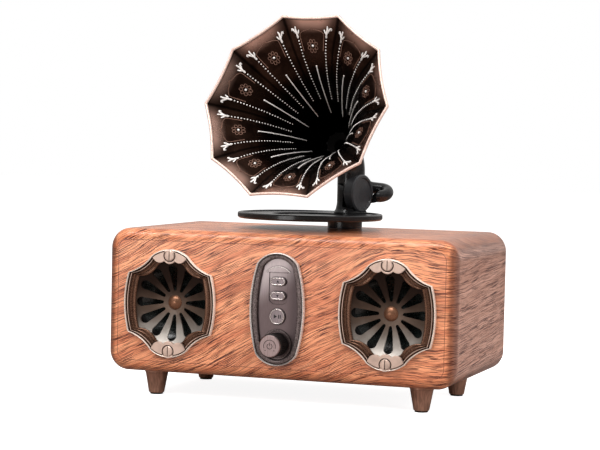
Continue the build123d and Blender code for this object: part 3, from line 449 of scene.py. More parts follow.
SPECIAL_FINISHES = {
    "grille_plate_left": DISH, "grille_plate_right": DISH, "bezel_screws": CAP_PLATE,
    "control_panel_face": PANEL_FACE, "knob_ring": PANEL_BORDER,
    "volume_knob": KNOB_SIDE, "knob_cap": KNOB_FACE,
    "knuckle_drum": DRUM, "horn_neck": THROAT_SHADE,
}

for part in frame["record"]["subparts"]:
    for material_slot in NODES[part["node"]].material_slots:
        material_slot.material = SPECIAL_FINISHES.get(part["node"], FINISHES[part["material_slot"]])


# ---------------------------------------------------------------- meshes

class Mesh:
    """Vertices in millimetres and faces, gathered before they become one piece."""

    def __init__(self):
        self.points = []
        self.faces = []

    def add(self, points, faces):
        """Add points, and faces that count from the first of these points."""
        start = len(self.points)
        self.points += [tuple(point) for point in points]
        self.faces += [tuple(start + index for index in face) for face in faces]

    def grid(self, rows):
        """Quads between rings of equally many points."""
        width = len(rows[0])
        quads = []
        for row in range(len(rows) - 1):
            here, beyond = row * width, (row + 1) * width
            for side in range(width):
                after = (side + 1) % width
                quads.append((here + side, here + after, beyond + after, beyond + side))
        self.add([point for row in rows for point in row], quads)

    def ring(self, rows):
        """A grid whose last row runs back to its first, as round a moulding's section."""
        self.grid(rows + rows[:1])

    def piece(self, name, material, body, sharp=35.0):
        """Make the mesh an object that rides on a body and takes its finish from a slot."""
        data = bpy.data.meshes.new(name)
        data.from_pydata([[value * MM for value in point] for point in self.points], [], self.faces)
        data.validate()
        data.shade_smooth()
        data.set_sharp_from_angle(angle=math.radians(sharp))
        data.materials.append(material)
        made = bpy.data.objects.new(name, data)
        bpy.context.scene.collection.objects.link(made)
        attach(made, body)
        return made


def full_turn(count):
    """Evenly spaced angles once round."""
    return [2 * math.pi * step / count for step in range(count)]


def tube(mesh, points, sizes, lifts, sides=6):
    """A round wire along points; sizes are its radii and lifts the directions that it stands up in."""
    last = len(points) - 1
    rows = []
    for index, point in enumerate(points):
        before, after = points[max(index - 1, 0)], points[min(index + 1, last)]
        ahead = (after - before).normalized()
        across = ahead.cross(lifts[index]).normalized()
        rise = across.cross(ahead)
        spokes = [across * math.cos(turn) + rise * math.sin(turn) for turn in full_turn(sides)]
        rows.append([point + spoke * sizes[index] for spoke in spokes])
    start = len(mesh.points)
    mesh.grid(rows)
    mesh.faces.append(tuple(start + side for side in reversed(range(sides))))
    mesh.faces.append(tuple(start + last * sides + side for side in range(sides)))


STUD_SIDES = 8
STUD_SECTION = ((1.0, -0.2), (0.92, 0.35), (0.55, 0.8))
STUD_HEIGHT = 0.8


def stud(mesh, centre, up, radius):
    """A low dome; its section's (share of the radius, share of the height) points end below the tip."""
    first = up.orthogonal().normalized()
    second = up.cross(first)
    spokes = [first * math.cos(turn) + second * math.sin(turn) for turn in full_turn(STUD_SIDES)]
    tip = up * radius * STUD_HEIGHT
    start = len(mesh.points)
    mesh.grid([
        [centre + spoke * radius * share + tip * rise for spoke in spokes]
        for share, rise in STUD_SECTION
    ])
    mesh.faces.append(tuple(start + side for side in reversed(range(STUD_SIDES))))
    top = len(mesh.points)
    mesh.add([centre + tip], [])
    last_ring = top - STUD_SIDES
    for side in range(STUD_SIDES):
        mesh.faces.append((last_ring + side, last_ring + (side + 1) % STUD_SIDES, top))


def arc(first, middle, last, count):
    """Points on the circle through three points, from the first up to just before the last."""
    ax, ay, bx, by, cx, cy = *first, *middle, *last
    d = 2 * (ax * (by - cy) + bx * (cy - ay) + cx * (ay - by))
    a2, b2, c2 = ax * ax + ay * ay, bx * bx + by * by, cx * cx + cy * cy
    ux = (a2 * (by - cy) + b2 * (cy - ay) + c2 * (ay - by)) / d
    uy = (a2 * (cx - bx) + b2 * (ax - cx) + c2 * (bx - ax)) / d
    radius = math.hypot(ax - ux, ay - uy)
    start = math.atan2(ay - uy, ax - ux)
    half = (math.atan2(by - uy, bx - ux) - start + math.pi) % (2 * math.pi) - math.pi
    turns = [start + 2 * half * step / count for step in range(count)]
    return [(ux + radius * math.cos(turn), uy + radius * math.sin(turn)) for turn in turns]


def outline(corners, count=14):
    """A closed line of arcs from corner to corner; every second point is the middle of an arc."""
    total = len(corners)
    line = []
    for index in range(0, total, 2):
        line += arc(corners[index], corners[index + 1], corners[(index + 2) % total], count)
    return line


def circle(radius, count=48):
    """A closed circle's points."""
    return [(radius * math.cos(turn), radius * math.sin(turn)) for turn in full_turn(count)]


def shield(inset):
    """The bezel's outline moved inwards."""
    top, side = 43.3 - inset, 39.0 - inset
    end_x, end_z = 15.6 - 0.45 * inset, 37.8 - 0.9 * inset
    flank_x, flank_z = 35.6 - 0.95 * inset, 24.0 - 0.35 * inset
    hollow_x, hollow_z = 24.3 - 0.62 * inset, 29.4 - 0.76 * inset
    return outline([
        (-end_x, end_z), (0, top), (end_x, end_z), (hollow_x, hollow_z),
        (flank_x, flank_z), (side, 0), (flank_x, -flank_z), (hollow_x, -hollow_z),
        (end_x, -end_z), (0, -top), (-end_x, -end_z), (-hollow_x, -hollow_z),
        (-flank_x, -flank_z), (-side, 0), (-flank_x, flank_z), (-hollow_x, hollow_z),
    ])


def panel_outline(inset):
    """The control panel's outline moved inwards."""
    side, top = 22.6 - inset, 44.5 - 0.78 * inset
    shoulder_x, shoulder_z = 17.0 - 0.8 * inset, 36.0 - 0.5 * inset
    return outline([
        (-shoulder_x, shoulder_z), (0, top), (shoulder_x, shoulder_z), (side, 0),
        (shoulder_x, -shoulder_z), (0, -top), (-shoulder_x, -shoulder_z), (-side, 0),
    ], 24)


def on_front(line, x, z, out):
    """A flat outline, placed around (x, z) at a distance in front of the cabinet."""
    return [Vector((x + px, FRONT - out, z + pz)) for px, pz in line]


def moulding(mesh, shape, profile, x, z):
    """A closed ring: the profile's (inset, height) points follow the outline that shape(inset) gives."""
    mesh.ring([on_front(shape(inset), x, z, out) for inset, out in profile])


# ---------------------------------------------------------------- horn

HORN_N = horn_axis()
HORN_X = Vector((math.cos(HORN_YAW), -math.sin(HORN_YAW), 0))
HORN_U = HORN_N.cross(HORN_X)
MOUTH = ELBOW + HORN_N * HORN_LENGTH
SEAM_SWELL = 0.075
HALF_PETAL = math.pi / PETALS
RIM_HALF_WIDTH = 1.15
RIM_HALF_DEPTH = 1.2
RIM_AHEAD = 0.75


def flare(behind):
    """The bell's inside apothem at a depth behind the rim: a smooth curve through the CAD stations."""
    xs, ys = np.array(BELL_DEPTHS, float), np.array(BELL_APOTHEMS, float)
    slopes = np.gradient(ys, xs)
    index = int(np.clip(np.searchsorted(xs, behind) - 1, 0, len(xs) - 2))
    step = xs[index + 1] - xs[index]
    t = (behind - xs[index]) / step
    start = (2 * t**3 - 3 * t**2 + 1) * ys[index] + (t**3 - 2 * t**2 + t) * step * slopes[index]
    end = (3 * t**2 - 2 * t**3) * ys[index + 1] + (t**3 - t**2) * step * slopes[index + 1]
    return start + end


def depth_at(apothem):
    """The depth behind the rim at which the bell's inside has this apothem."""
    low, high = 0.0, BELL_LENGTH
    for _ in range(30):
        middle = (low + high) / 2
        low, high = (middle, high) if flare(middle) > apothem else (low, middle)
    return low


def petal_spoke(petal, off):
    """The direction away from the horn's axis, at an angle off a petal's middle."""
    turn = math.pi / 2 + petal * 2 * HALF_PETAL + off
    return HORN_X * math.cos(turn) + HORN_U * math.sin(turn)


def petal_hollow(share):
    """How far in a petal's edge bows: least at the seams, where share is -1 and 1."""
    return 1 - PETAL_BOW * (1 - share**2)


def bell_point(petal, share, behind, wall=0.0):
    """A point on the bell: share runs from -1 to 1 across a petal; wall moves it outwards."""
    off = share * HALF_PETAL
    rise = math.sin(math.pi * min(max(behind - 6, 0) / 82, 1)) ** 1.2
    swell = SEAM_SWELL * rise * math.exp(-(((1 - abs(share)) / 0.26) ** 2))
    radius = flare(behind) / math.cos(off) * petal_hollow(share) * (1 - swell) + wall
    return MOUTH + petal_spoke(petal, off) * radius - HORN_N * behind


def bell_normal(petal, share, behind):
    """The direction into the horn, square to its inside."""
    step = 0.02
    across = bell_point(petal, share + step, behind) - bell_point(petal, share - step, behind)
    along = bell_point(petal, share, behind + 0.5) - bell_point(petal, share, max(behind - 0.5, 0))
    return across.cross(along).normalized()


def wall_reach(behind):
    """How far outwards, square to the horn's axis, the sloping wall's other side lies."""
    slope = flare(max(behind - 0.5, 0.0)) - flare(min(behind + 0.5, BELL_LENGTH))
    return min(BELL_WALL * math.hypot(1.0, slope), 1.5)


def horn_bell():
    """The bell: ten petals with softly swollen seams, open at both ends, with a real wall."""
    mesh = Mesh()
    steps = 12
    depths = [BELL_LENGTH * (index / 64) ** 1.35 for index in range(65)]
    places = [(petal, -1 + 2 * step / steps) for petal in range(PETALS) for step in range(steps)]
    rows = [[bell_point(*place, depth) for place in places] for depth in depths]
    for depth in reversed(depths):
        rows.append([bell_point(*place, depth, wall_reach(depth)) for place in places])
    mesh.ring(rows)
    made = mesh.piece("bell_shell", FINISHES["horn_bronze"], "horn", 24.0)
    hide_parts("horn_bell")


def horn_rim():
    """The rounded bead around the mouth, with crisp corners between the petals."""
    mesh = Mesh()
    shares = [-1 + step / 8 for step in range(16)]
    rows = []
    for around in full_turn(12):
        apothem = RIM_APOTHEM - RIM_HALF_WIDTH + RIM_HALF_WIDTH * math.cos(around)
        middle = MOUTH + HORN_N * (RIM_AHEAD + RIM_HALF_DEPTH * math.sin(around))
        row = []
        for petal in range(PETALS):
            for share in shares:
                off = share * HALF_PETAL
                radius = apothem / math.cos(off) * petal_hollow(share)
                row.append(middle + petal_spoke(petal, off) * radius)
        rows.append(row)
    mesh.ring(rows)
    made = mesh.piece("rim_bead", FINISHES["horn_rim_copper"], "horn", 50.0)
    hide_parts("horn_rim")


DOTTED_SHARE = 0.64
INNER_SHARE = 0.53


def trace(mesh, petal, path, size):
    """A wire on the bell's inside through (share, apothem) points, of one radius or of one for each."""
    spots = [(share, depth_at(apothem)) for share, apothem in path]
    sizes = [size] * len(path) if isinstance(size, float) else size
    lifts = [bell_normal(petal, *spot) for spot in spots]
    raised = [lift * (0.35 * wide) for lift, wide in zip(lifts, sizes)]
    points = [bell_point(petal, *spot) + lift for spot, lift in zip(spots, raised)]
    tube(mesh, points, sizes, lifts)


def stroke(mesh, petal, share, apothem, line, size):
    """A wire, thinner at its ends, drawn in millimetres around a point of the bell.

    The line's x runs across towards the seam, its y outwards.
    """
    side = math.copysign(1.0, share)
    path = []
    for across, outwards in line:
        reach = apothem + outwards
        path.append((share + side * across / (reach * math.tan(HALF_PETAL)), reach))
    turns = [math.pi * (index + 0.5) / len(line) for index in range(len(line))]
    trace(mesh, petal, path, [size * (0.55 + 0.45 * math.sin(turn)) for turn in turns])


def curve(*points, steps=5):
    """A smooth line through a few points (Catmull-Rom)."""
    padded = [points[0], *points, points[-1]]
    line = []
    for first in range(len(padded) - 3):
        p0, p1, p2, p3 = (np.array(point, float) for point in padded[first:first + 4])
        for step in range(steps):
            t = step / steps
            bend = (2 * p0 - 5 * p1 + 4 * p2 - p3) * t**2
            twist = (3 * p1 - p0 - 3 * p2 + p3) * t**3
            line.append(tuple(0.5 * (2 * p1 + (p2 - p0) * t + bend + twist)))
    line.append(tuple(points[-1]))
    return line


FLEUR_BASE = 62.8
FLEUR_STEM = curve((0, -1.0), (0.1, 1.8), (0.5, 4.4), (0.2, 7.0))
FLEUR_HOOK = curve((0.2, 1.6), (1.5, 3.2), (3.0, 4.9), (3.9, 4.6), (3.7, 3.5))
FLEUR_LEAF = curve((0.0, 1.4), (-1.3, 2.8), (-2.3, 4.8))
DOTS_INNER = 25.5
RAY_OUTER = 44.5
RAY_LENGTH = 25.0
ROSETTE_REACH = 57.0
ROSETTE_LEAVES = 8
LEAF_REACH, LEAF_HALF_LENGTH, LEAF_HALF_WIDTH = 3.5, 1.35, 1.15
ARCH_TIP = 69.8
ARCH_FOOT = 63.5
ARCH = curve((0.0, ARCH_TIP), (0.1, ARCH_TIP - 1.5), (0.32, ARCH_TIP - 2.6), (0.47, ARCH_TIP - 4.2),
             (INNER_SHARE, ARCH_FOOT), (INNER_SHARE - 0.02, ARCH_FOOT - 10.0))


def bell_stud(mesh, petal, share, apothem, size):
    """A low dome on the bell's inside."""
    depth = depth_at(apothem)
    stud(mesh, bell_point(petal, share, depth), bell_normal(petal, share, depth), size)


def dotted_line(mesh, petal, side):
    """Studs from a fleur's foot towards the throat, smaller and closer as they go in."""
    reach = FLEUR_BASE - 0.6
    while reach > DOTS_INNER:
        inwards = reach / FLEUR_BASE
        size = 0.40 + 0.28 * inwards
        bell_stud(mesh, petal, side * (DOTTED_SHARE - 0.05 * (1 - inwards)), reach, size)
        reach -= (size * 3.5) * (0.44 + 0.48 * inwards)


def horn_embossing():
    """Bright relief inside the bell: dotted lines ending in fleurs, a ray in each petal, rosette middles."""
    mesh = Mesh()
    for petal in range(PETALS):
        for side in (-1, 1):
            dotted_line(mesh, petal, side)
            at = (petal, side * DOTTED_SHARE, FLEUR_BASE)
            bell_stud(mesh, *at, 1.0)
            stroke(mesh, *at, FLEUR_STEM, 0.85)
            stroke(mesh, *at, FLEUR_HOOK, 0.7)
            stroke(mesh, *at, FLEUR_LEAF, 0.7)
        trace(mesh, petal, [(0.0, RAY_OUTER - RAY_LENGTH * step / 18) for step in range(19)], 0.46)
        bell_stud(mesh, petal, 0, RAY_OUTER, 0.75)
        bell_stud(mesh, petal, 0, ROSETTE_REACH, 1.1)
    mesh.piece("bell_embossing", EMBOSSING, "horn", 60.0)


def rosette_leaf(heading):
    """One leaf of a rosette, in millimetres around the rosette's middle."""
    loop = []
    for step in range(9):
        around = 2 * math.pi * step / 8
        away = LEAF_REACH + LEAF_HALF_LENGTH * math.cos(around)
        across = LEAF_HALF_WIDTH * math.sin(around)
        loop.append((away * math.cos(heading) - across * math.sin(heading),
                     away * math.sin(heading) + across * math.cos(heading)))
    return loop


def horn_lines():
    """Finer relief: a pointed arch over each petal's rosette, and the rosette's leaves."""
    mesh = Mesh()
    for petal in range(PETALS):
        for side in (-1, 1):
            trace(mesh, petal, [(side * share, reach) for share, reach in ARCH], 0.3)
        for leaf in range(ROSETTE_LEAVES):
            loop = rosette_leaf(2 * math.pi * (leaf + 0.5) / ROSETTE_LEAVES)
            half_width = math.tan(HALF_PETAL)
            path = [(px / ((ROSETTE_REACH + py) * half_width), ROSETTE_REACH + py * 0.95) for px, py in loop]
            trace(mesh, petal, path, 0.32)
    mesh.piece("bell_lines", FINE_LINES, "horn", 60.0)


# ---------------------------------------------------------------- grille bezels

# Each profile's points are (inset from the outline, height above the cabinet's front)
BEAD_PROFILE = [
    (0, 0), (0, 3.1), (0.15, 3.6), (0.4, 3.9), (0.65, 4.0), (0.9, 3.85), (1.1, 3.45), (1.2, 2.4), (1.2, 0),
]
STEP_PROFILE = [
    (1.5, 0), (1.5, 2.15), (1.8, 2.35), (2.5, 2.7), (3.1, 2.5), (3.4, 2.1), (3.6, 1.3),
    (4.0, 1.25), (4.9, 1.75), (5.7, 1.55), (6.0, 1.2), (6.2, 0.5),
    (6.6, 0.45), (7.6, 0.95), (8.5, 0.75), (8.9, 0.4), (9.0, 0.2),
    (9.0, -0.4), (8.5, -0.4), (8.5, 0),
]
LINE_PROFILE = [(2.55, 2.2), (2.6, 2.75), (2.75, 2.9), (3.0, 2.9), (3.15, 2.7), (3.2, 2.2)]
CAP_LOW = {1: 31.9, -1: 30.4}
CAP_INSET = 1.7
CAP_HALF_WIDTH = 15.6
CAP_TOP = 3.9
CAP_HALF_THICKNESS = 1.1
CAP_BEVEL = 0.35


def cap_scallops(low):
    """Three lobes along a cap's inner edge, from right to left."""
    notch, lobe, valley = low + 2.2, low + 0.4, low + 1.9
    lobes = (
        ((12.6, notch), (8.6, lobe), (4.6, valley)),
        ((4.6, valley), (0, low - 0.3), (-4.6, valley)),
        ((-4.6, valley), (-8.6, lobe), (-12.6, notch)),
    )
    line = []
    for right, middle, left in lobes:
        line += arc(right, middle, left, 8)
    return line + [(-12.6, notch)]


def cap_plate(sign, x):
    """The plate around a bezel's upper (1) or lower (-1) screw: it follows the bead and has a hole."""
    low = CAP_LOW[sign]
    rim = [(px, pz) for px, pz in shield(CAP_INSET) if pz > low + 0.4 and abs(px) < CAP_HALF_WIDTH]
    rim.sort(key=lambda point: point[0])
    edge = rim + cap_scallops(low)
    hole = [(px, CAP_SCREW_Z + pz) for px, pz in circle(CAP_RECESS_R, 32)]
    shape = bpy.data.curves.new("cap", "CURVE")
    shape.dimensions = "2D"
    shape.fill_mode = "BOTH"
    for line in (edge, hole):
        spline = shape.splines.new("POLY")
        spline.points.add(len(line) - 1)
        for point, (px, pz) in zip(spline.points, line):
            point.co = (px, sign * pz, 0, 1)
        spline.use_cyclic_u = True
    shape.extrude = CAP_HALF_THICKNESS
    shape.bevel_depth = CAP_BEVEL
    shape.bevel_resolution = 2
    shape.offset = -CAP_BEVEL
    holder = bpy.data.objects.new("cap", shape)
    flat = bpy.data.meshes.new_from_object(holder)
    mesh = Mesh()
    middle = Vector((x, FRONT - (CAP_TOP - CAP_HALF_THICKNESS - CAP_BEVEL), GRILLE_Z))
    mesh.add([middle + Vector((v.co.x, -v.co.z, v.co.y)) for v in flat.vertices],
             [tuple(face.vertices) for face in flat.polygons])
    bpy.data.objects.remove(holder)
    bpy.data.curves.remove(shape)
    bpy.data.meshes.remove(flat)
    return mesh


def bezels():
    """Both grille bezels: a bright bead, dark steps down to the grille, and a cap around each screw."""
    for side, x in (("left", -GRILLE_X), ("right", GRILLE_X)):
        bead = Mesh()
        moulding(bead, shield, BEAD_PROFILE, x, GRILLE_Z)
        outer = bead.piece(f"bezel_bead_{side}", BEAD, "cabinet", 40.0)
        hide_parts(f"grille_bezel_{side}")
        steps = Mesh()
        moulding(steps, shield, STEP_PROFILE, x, GRILLE_Z)
        steps.piece(f"bezel_steps_{side}", FINISHES["bronze_trim"], "cabinet", 40.0)
        caps = Mesh()
        moulding(caps, shield, LINE_PROFILE, x, GRILLE_Z)
        for sign in (1, -1):
            plate = cap_plate(sign, x)
            caps.add(plate.points, plate.faces)
        caps.piece(f"bezel_caps_{side}", CAP_PLATE, "cabinet", 40.0)


# ---------------------------------------------------------------- control panel

PANEL_BEAD_PROFILE = [
    (0, 0), (0, 3.2), (0.2, 3.65), (0.5, 3.92), (0.8, 4.0), (1.1, 3.85), (1.35, 3.4), (1.45, 2.2), (1.45, 0),
]
PANEL_BORDER_PROFILE = [
    (1.4, 0), (1.4, 2.3), (1.7, 2.4), (5.3, 2.4), (5.7, 2.3), (5.95, 2.0), (6.0, 1.6), (6.0, 0),
]
BOW_R = 12.9
BOW_Z = 97.0
BOW_WIRE_R = 0.32


def control_panel():
    """The panel's bright bead, its speckled border and the bow over the buttons."""
    bead = Mesh()
    moulding(bead, panel_outline, PANEL_BEAD_PROFILE, PANEL_X, PANEL_Z)
    outer = bead.piece("panel_bead", PANEL_BEAD, "cabinet", 40.0)
    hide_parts("control_panel_frame")
    border = Mesh()
    moulding(border, panel_outline, PANEL_BORDER_PROFILE, PANEL_X, PANEL_Z)
    border.piece("panel_border", PANEL_BORDER, "cabinet", 40.0)
    bow = Mesh()
    turns = np.radians(np.linspace(41, 139, 33))
    points = on_front([(BOW_R * math.cos(t), BOW_R * math.sin(t)) for t in turns], PANEL_X, BOW_Z, 0.35)
    tube(bow, points, [BOW_WIRE_R] * len(points), [Vector((0, -1, 0))] * len(points), 8)
    bow.piece("panel_arc", PANEL_BEAD, "cabinet", 60.0)


def pill(inset):
    """A stadium outline moved inwards, around the button's middle."""
    radius = PILL_H / 2 - inset
    reach = PILL_W / 2 - PILL_H / 2
    turns = np.linspace(-math.pi / 2, math.pi / 2, 15)
    right = [(reach + radius * math.cos(t), radius * math.sin(t)) for t in turns]
    return right + [(-px, -pz) for px, pz in right]


def mode_outline(inset):
    """The round button's outline moved inwards."""
    return circle(MODE_R - inset)


# The rim's points are (inset from the button's outline, height above the cabinet's front)
RIM_BASE = BUTTON_FRONT - 0.2
BUTTON_RIM_PROFILE = [
    (0.25, RIM_BASE), (0.3, RIM_BASE + 0.3), (0.5, RIM_BASE + 0.5), (0.8, RIM_BASE + 0.55),
    (1.1, RIM_BASE + 0.45), (1.25, RIM_BASE + 0.2), (1.25, RIM_BASE),
]
SIGN_SINK = 0.1
BUTTON_SIGN_RISE = 0.08
KNOB_SIGN_RISE = 0.06
TRIANGLE = [(-1.15, -0.75), (1.15, -0.75), (0, 1.05)]
PLAY = [(-2.6, -1.5), (0.0, 0.0), (-2.6, 1.5)]
PAUSE_BARS = (0.9, 2.3)
BAR = [(0, -1.5), (0.7, -1.5), (0.7, 1.5), (0, 1.5)]


def inlay(mesh, line, z, low, high):
    """A thin flat shape standing on the middle of a button or of the knob, from its outline."""
    back, front = on_front(line, PANEL_X, z, low), on_front(line, PANEL_X, z, high)
    count = len(line)
    sides = [(i, (i + 1) % count, count + (i + 1) % count, count + i) for i in range(count)]
    mesh.add(back + front, [tuple(range(count, 2 * count)), tuple(reversed(range(count)))] + sides)


def button_rim(name, body, shape, z):
    """A bright raised rim around a button."""
    rim = Mesh()
    moulding(rim, shape, BUTTON_RIM_PROFILE, PANEL_X, z)
    rim.piece(f"button_rim_{name}", BUTTON_RIM, body, 60.0)


def button_sign(name, body, shapes, z):
    """The black sign on a button, from the outlines of its shapes."""
    mark = Mesh()
    for line in shapes:
        inlay(mark, line, z, BUTTON_FRONT - SIGN_SINK, BUTTON_FRONT + BUTTON_SIGN_RISE)
    mark.piece(f"button_mark_{name}", INK, body)


def buttons():
    """Rims and signs: a triangle up, a triangle down, and play with pause on the round button."""
    button_rim("up", "up_button", pill, UP_Z)
    button_sign("up", "up_button", [TRIANGLE], UP_Z)
    button_rim("down", "down_button", pill, DOWN_Z)
    button_sign("down", "down_button", [[(px, -pz) for px, pz in reversed(TRIANGLE)]], DOWN_Z)
    button_rim("mode", "round_button", mode_outline, MODE_Z)
    bars = [[(left + px, pz) for px, pz in BAR] for left in PAUSE_BARS]
    button_sign("mode", "round_button", [PLAY] + bars, MODE_Z)


def ring_part(mesh, radius, width, start, end):
    """A thin flat arc on the knob's face, between two angles in degrees."""
    turns = np.radians(np.linspace(start, end, 32))
    outer, inner = radius + width / 2, radius - width / 2
    line = [(outer * math.cos(t), outer * math.sin(t)) for t in turns]
    line += [(inner * math.cos(t), inner * math.sin(t)) for t in reversed(turns)]
    back = on_front(line, PANEL_X, KNOB_Z, KNOB_FRONT - SIGN_SINK)
    front = on_front(line, PANEL_X, KNOB_Z, KNOB_FRONT + KNOB_SIGN_RISE)
    count, total = len(turns), len(line)
    quads = []
    for i in range(count - 1):
        j = total - 1 - i
        quads += [(total + i, total + i + 1, total + j - 1, total + j), (j, j - 1, i + 1, i),
                  (i, i + 1, total + i + 1, total + i), (total + j, total + j - 1, j - 1, j)]
    quads += [(0, total, 2 * total - 1, total - 1), (count - 1, count, total + count, total + count - 1)]
    mesh.add(back + front, quads)


POWER_R = 2.1
POWER_LINE = [(-0.28, 0.4), (0.28, 0.4), (0.28, 3.0), (-0.28, 3.0)]
SCALE_R = 4.9
SCALE_DOT_R = 0.45


def knob():
    """The knob's sign: a power symbol inside an arc with a dot at each end."""
    low, high = KNOB_FRONT - SIGN_SINK, KNOB_FRONT + KNOB_SIGN_RISE
    sign = Mesh()
    ring_part(sign, POWER_R, 0.55, 115, 425)
    inlay(sign, POWER_LINE, KNOB_Z, low, high)
    ring_part(sign, SCALE_R, 0.5, -18, 198)
    for angle in (-42, 222):
        x, z = SCALE_R * math.cos(math.radians(angle)), SCALE_R * math.sin(math.radians(angle))
        inlay(sign, [(x + px, z + pz) for px, pz in circle(SCALE_DOT_R, 12)], KNOB_Z, low, high)
    sign.piece("knob_sign", INK, "knob")


JOINT_CORNER_R = 7.0
JOINT_PROFILE = [(-0.16, -0.2), (-0.16, 0.02), (0.16, 0.02), (0.16, -0.2)]


def baffle_outline(inset):
    """The baffle's rounded rectangle, moved inwards."""
    half_w, half_h = CABINET_W / 2 - SHELL_INSET - inset, CABINET_H / 2 - SHELL_INSET - inset
    radius = JOINT_CORNER_R - inset
    line = []
    for sx, sz, start in ((1, 1, 0), (-1, 1, 90), (-1, -1, 180), (1, -1, 270)):
        for angle in np.radians(np.linspace(start, start + 90, 9)):
            line.append((sx * (half_w - radius) + radius * math.cos(angle),
                         sz * (half_h - radius) + radius * math.sin(angle)))
    return line


def joint_line():
    """The fine dark joint between the baffle and the cabinet around it."""
    mesh = Mesh()
    moulding(mesh, baffle_outline, JOINT_PROFILE, 0, CABINET_MID)
    mesh.piece("baffle_joint", plastic("joint_shadow", srgb(92, 44, 28), 0.6), "cabinet")


horn_bell()
horn_rim()
horn_embossing()
horn_lines()
bezels()
control_panel()
buttons()
knob()
joint_line()


# ---------------------------------------------------------------- studio

VIEW_AZIMUTH = math.radians(19.127)
VIEW_ELEVATION = math.radians(2.709)
VIEW_ROLL = math.radians(1.267)
VIEW_TARGET = Vector((-10.1, 8.4, 139.26)) * MM
VIEW_DISTANCE = 1.62495
VIEW_LENS = 118.66
FLOOR_REACH = 6.0
FLOOR_GLOW = 0.9
FLOOR_MIRRORED = srgb(132, 122, 118)
# How bright the room is along an axis: from a low to a high share of it, and the strengths at the two
ROOM_ABOVE = (2, (-0.1, 0.9, 0.07, 0.42))
ROOM_BEHIND = (1, (0.1, 0.9, 0.0, 0.35))


def studio_camera():
    """The main viewpoint: a little above, from the right, with a slight roll."""
    back = Vector((math.sin(VIEW_AZIMUTH) * math.cos(VIEW_ELEVATION),
                   -math.cos(VIEW_AZIMUTH) * math.cos(VIEW_ELEVATION), math.sin(VIEW_ELEVATION)))
    data = bpy.data.cameras.new("camera")
    data.lens = VIEW_LENS
    data.sensor_width = 36.0
    camera = bpy.data.objects.new("camera", data)
    bpy.context.scene.collection.objects.link(camera)
    camera.location = VIEW_TARGET + back * VIEW_DISTANCE
    camera.rotation_mode = "QUATERNION"
    camera.rotation_quaternion = Quaternion(back, VIEW_ROLL) @ (-back).to_track_quat("-Z", "Y")
    bpy.context.scene.camera = camera


def softbox(name, place, target, width, height, power, mirrored=False):
    """A soft light that either shines on matt surfaces or is only mirrored in glossy ones."""
    data = bpy.data.lights.new(name, "AREA")
    data.shape = "RECTANGLE"
    data.size, data.size_y = width, height
    data.energy = power
    light = bpy.data.objects.new(name, data)
    bpy.context.scene.collection.objects.link(light)
    light.location = place
    light.visible_glossy = mirrored
    light.visible_diffuse = not mirrored
    light.rotation_euler = (Vector(target) - Vector(place)).to_track_quat("-Z", "Y").to_euler()


def seen_or_reflected(tree, seen, reflected, surface):
    """One shader for what is seen directly, another for what lights and mirrors in the object."""
    rays = tree.nodes.new("ShaderNodeLightPath")
    choose = tree.nodes.new("ShaderNodeMixShader")
    tree.links.new(rays.outputs["Is Camera Ray"], choose.inputs[0])
    tree.links.new(reflected, choose.inputs[1])
    tree.links.new(seen, choose.inputs[2])
    tree.links.new(choose.outputs[0], surface)


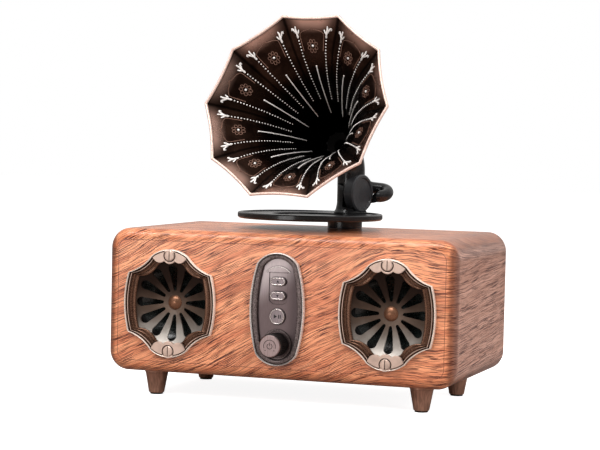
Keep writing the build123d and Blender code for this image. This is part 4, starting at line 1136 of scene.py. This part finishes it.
def studio_world():
    """White to look at; towards the object a room that is light above and behind, darker in front."""
    world = bpy.data.worlds.new("studio")
    bpy.context.scene.world = world
    world.use_nodes = True
    tree = world.node_tree
    room = tree.nodes["Background"]
    white = tree.nodes.new("ShaderNodeBackground")
    white.inputs["Color"].default_value = (1, 1, 1, 1)
    direction = tree.nodes.new("ShaderNodeSeparateXYZ")
    tree.links.new(tree.nodes.new("ShaderNodeTexCoord").outputs["Generated"], direction.inputs[0])
    glow = tree.nodes.new("ShaderNodeMath")
    glow.operation = "ADD"
    for index, (axis, limits) in enumerate((ROOM_ABOVE, ROOM_BEHIND)):
        part = tree.nodes.new("ShaderNodeMapRange")
        for socket, value in zip(("From Min", "From Max", "To Min", "To Max"), limits):
            part.inputs[socket].default_value = value
        tree.links.new(direction.outputs[axis], part.inputs["Value"])
        tree.links.new(part.outputs[0], glow.inputs[index])
    tree.links.new(glow.outputs[0], room.inputs["Strength"])
    room.inputs["Color"].default_value = (1.0, 0.98, 0.96, 1)
    seen_or_reflected(tree, white.outputs[0], room.outputs[0], tree.nodes["World Output"].inputs["Surface"])


def studio_floor():
    """A plain pale floor that fades into the white behind it."""
    data = bpy.data.meshes.new("floor")
    corners = [(sx * FLOOR_REACH, sy * FLOOR_REACH, 0) for sx, sy in ((-1, -1), (1, -1), (1, 1), (-1, 1))]
    data.from_pydata(corners, [], [(0, 1, 2, 3)])
    floor = bpy.data.objects.new("floor", data)
    bpy.context.scene.collection.objects.link(floor)
    finish = Finish("floor_white", 0.9, specular=0.0)
    finish.set("Base Color", finish.mix(finish.noise(900.0, 1.0), (0.6, 0.6, 0.6, 1), (0.63, 0.63, 0.63, 1)))
    finish.set("Emission Color", (1, 1, 1, 1))
    finish.set("Emission Strength", FLOOR_GLOW)
    dull = finish.tree.nodes.new("ShaderNodeBsdfDiffuse")
    dull.inputs["Color"].default_value = FLOOR_MIRRORED
    seen_or_reflected(finish.tree, finish.shader.outputs[0], dull.outputs[0],
                      finish.tree.nodes["Material Output"].inputs["Surface"])
    data.materials.append(finish.material)


studio_camera()
studio_world()
studio_floor()
softbox("key", (-0.75, -1.35, 1.25), (0, 0, 0.12), 1.1, 0.9, 29.0)
softbox("top", (0.1, 0.1, 1.7), (0, 0, 0.1), 1.6, 1.2, 22.0)
softbox("right", (1.5, -0.9, 0.7), (0, 0, 0.12), 0.8, 1.0, 19.0)
softbox("front_mirror", (-0.6, -1.7, 0.0), (0, 0, 0.1), 0.8, 0.5, 5.0, True)
softbox("high_mirror", (-0.3, -0.9, 1.5), (0, 0, 0.14), 1.2, 0.5, 12.0, True)
bpy.context.scene.view_settings.view_transform = "Standard"
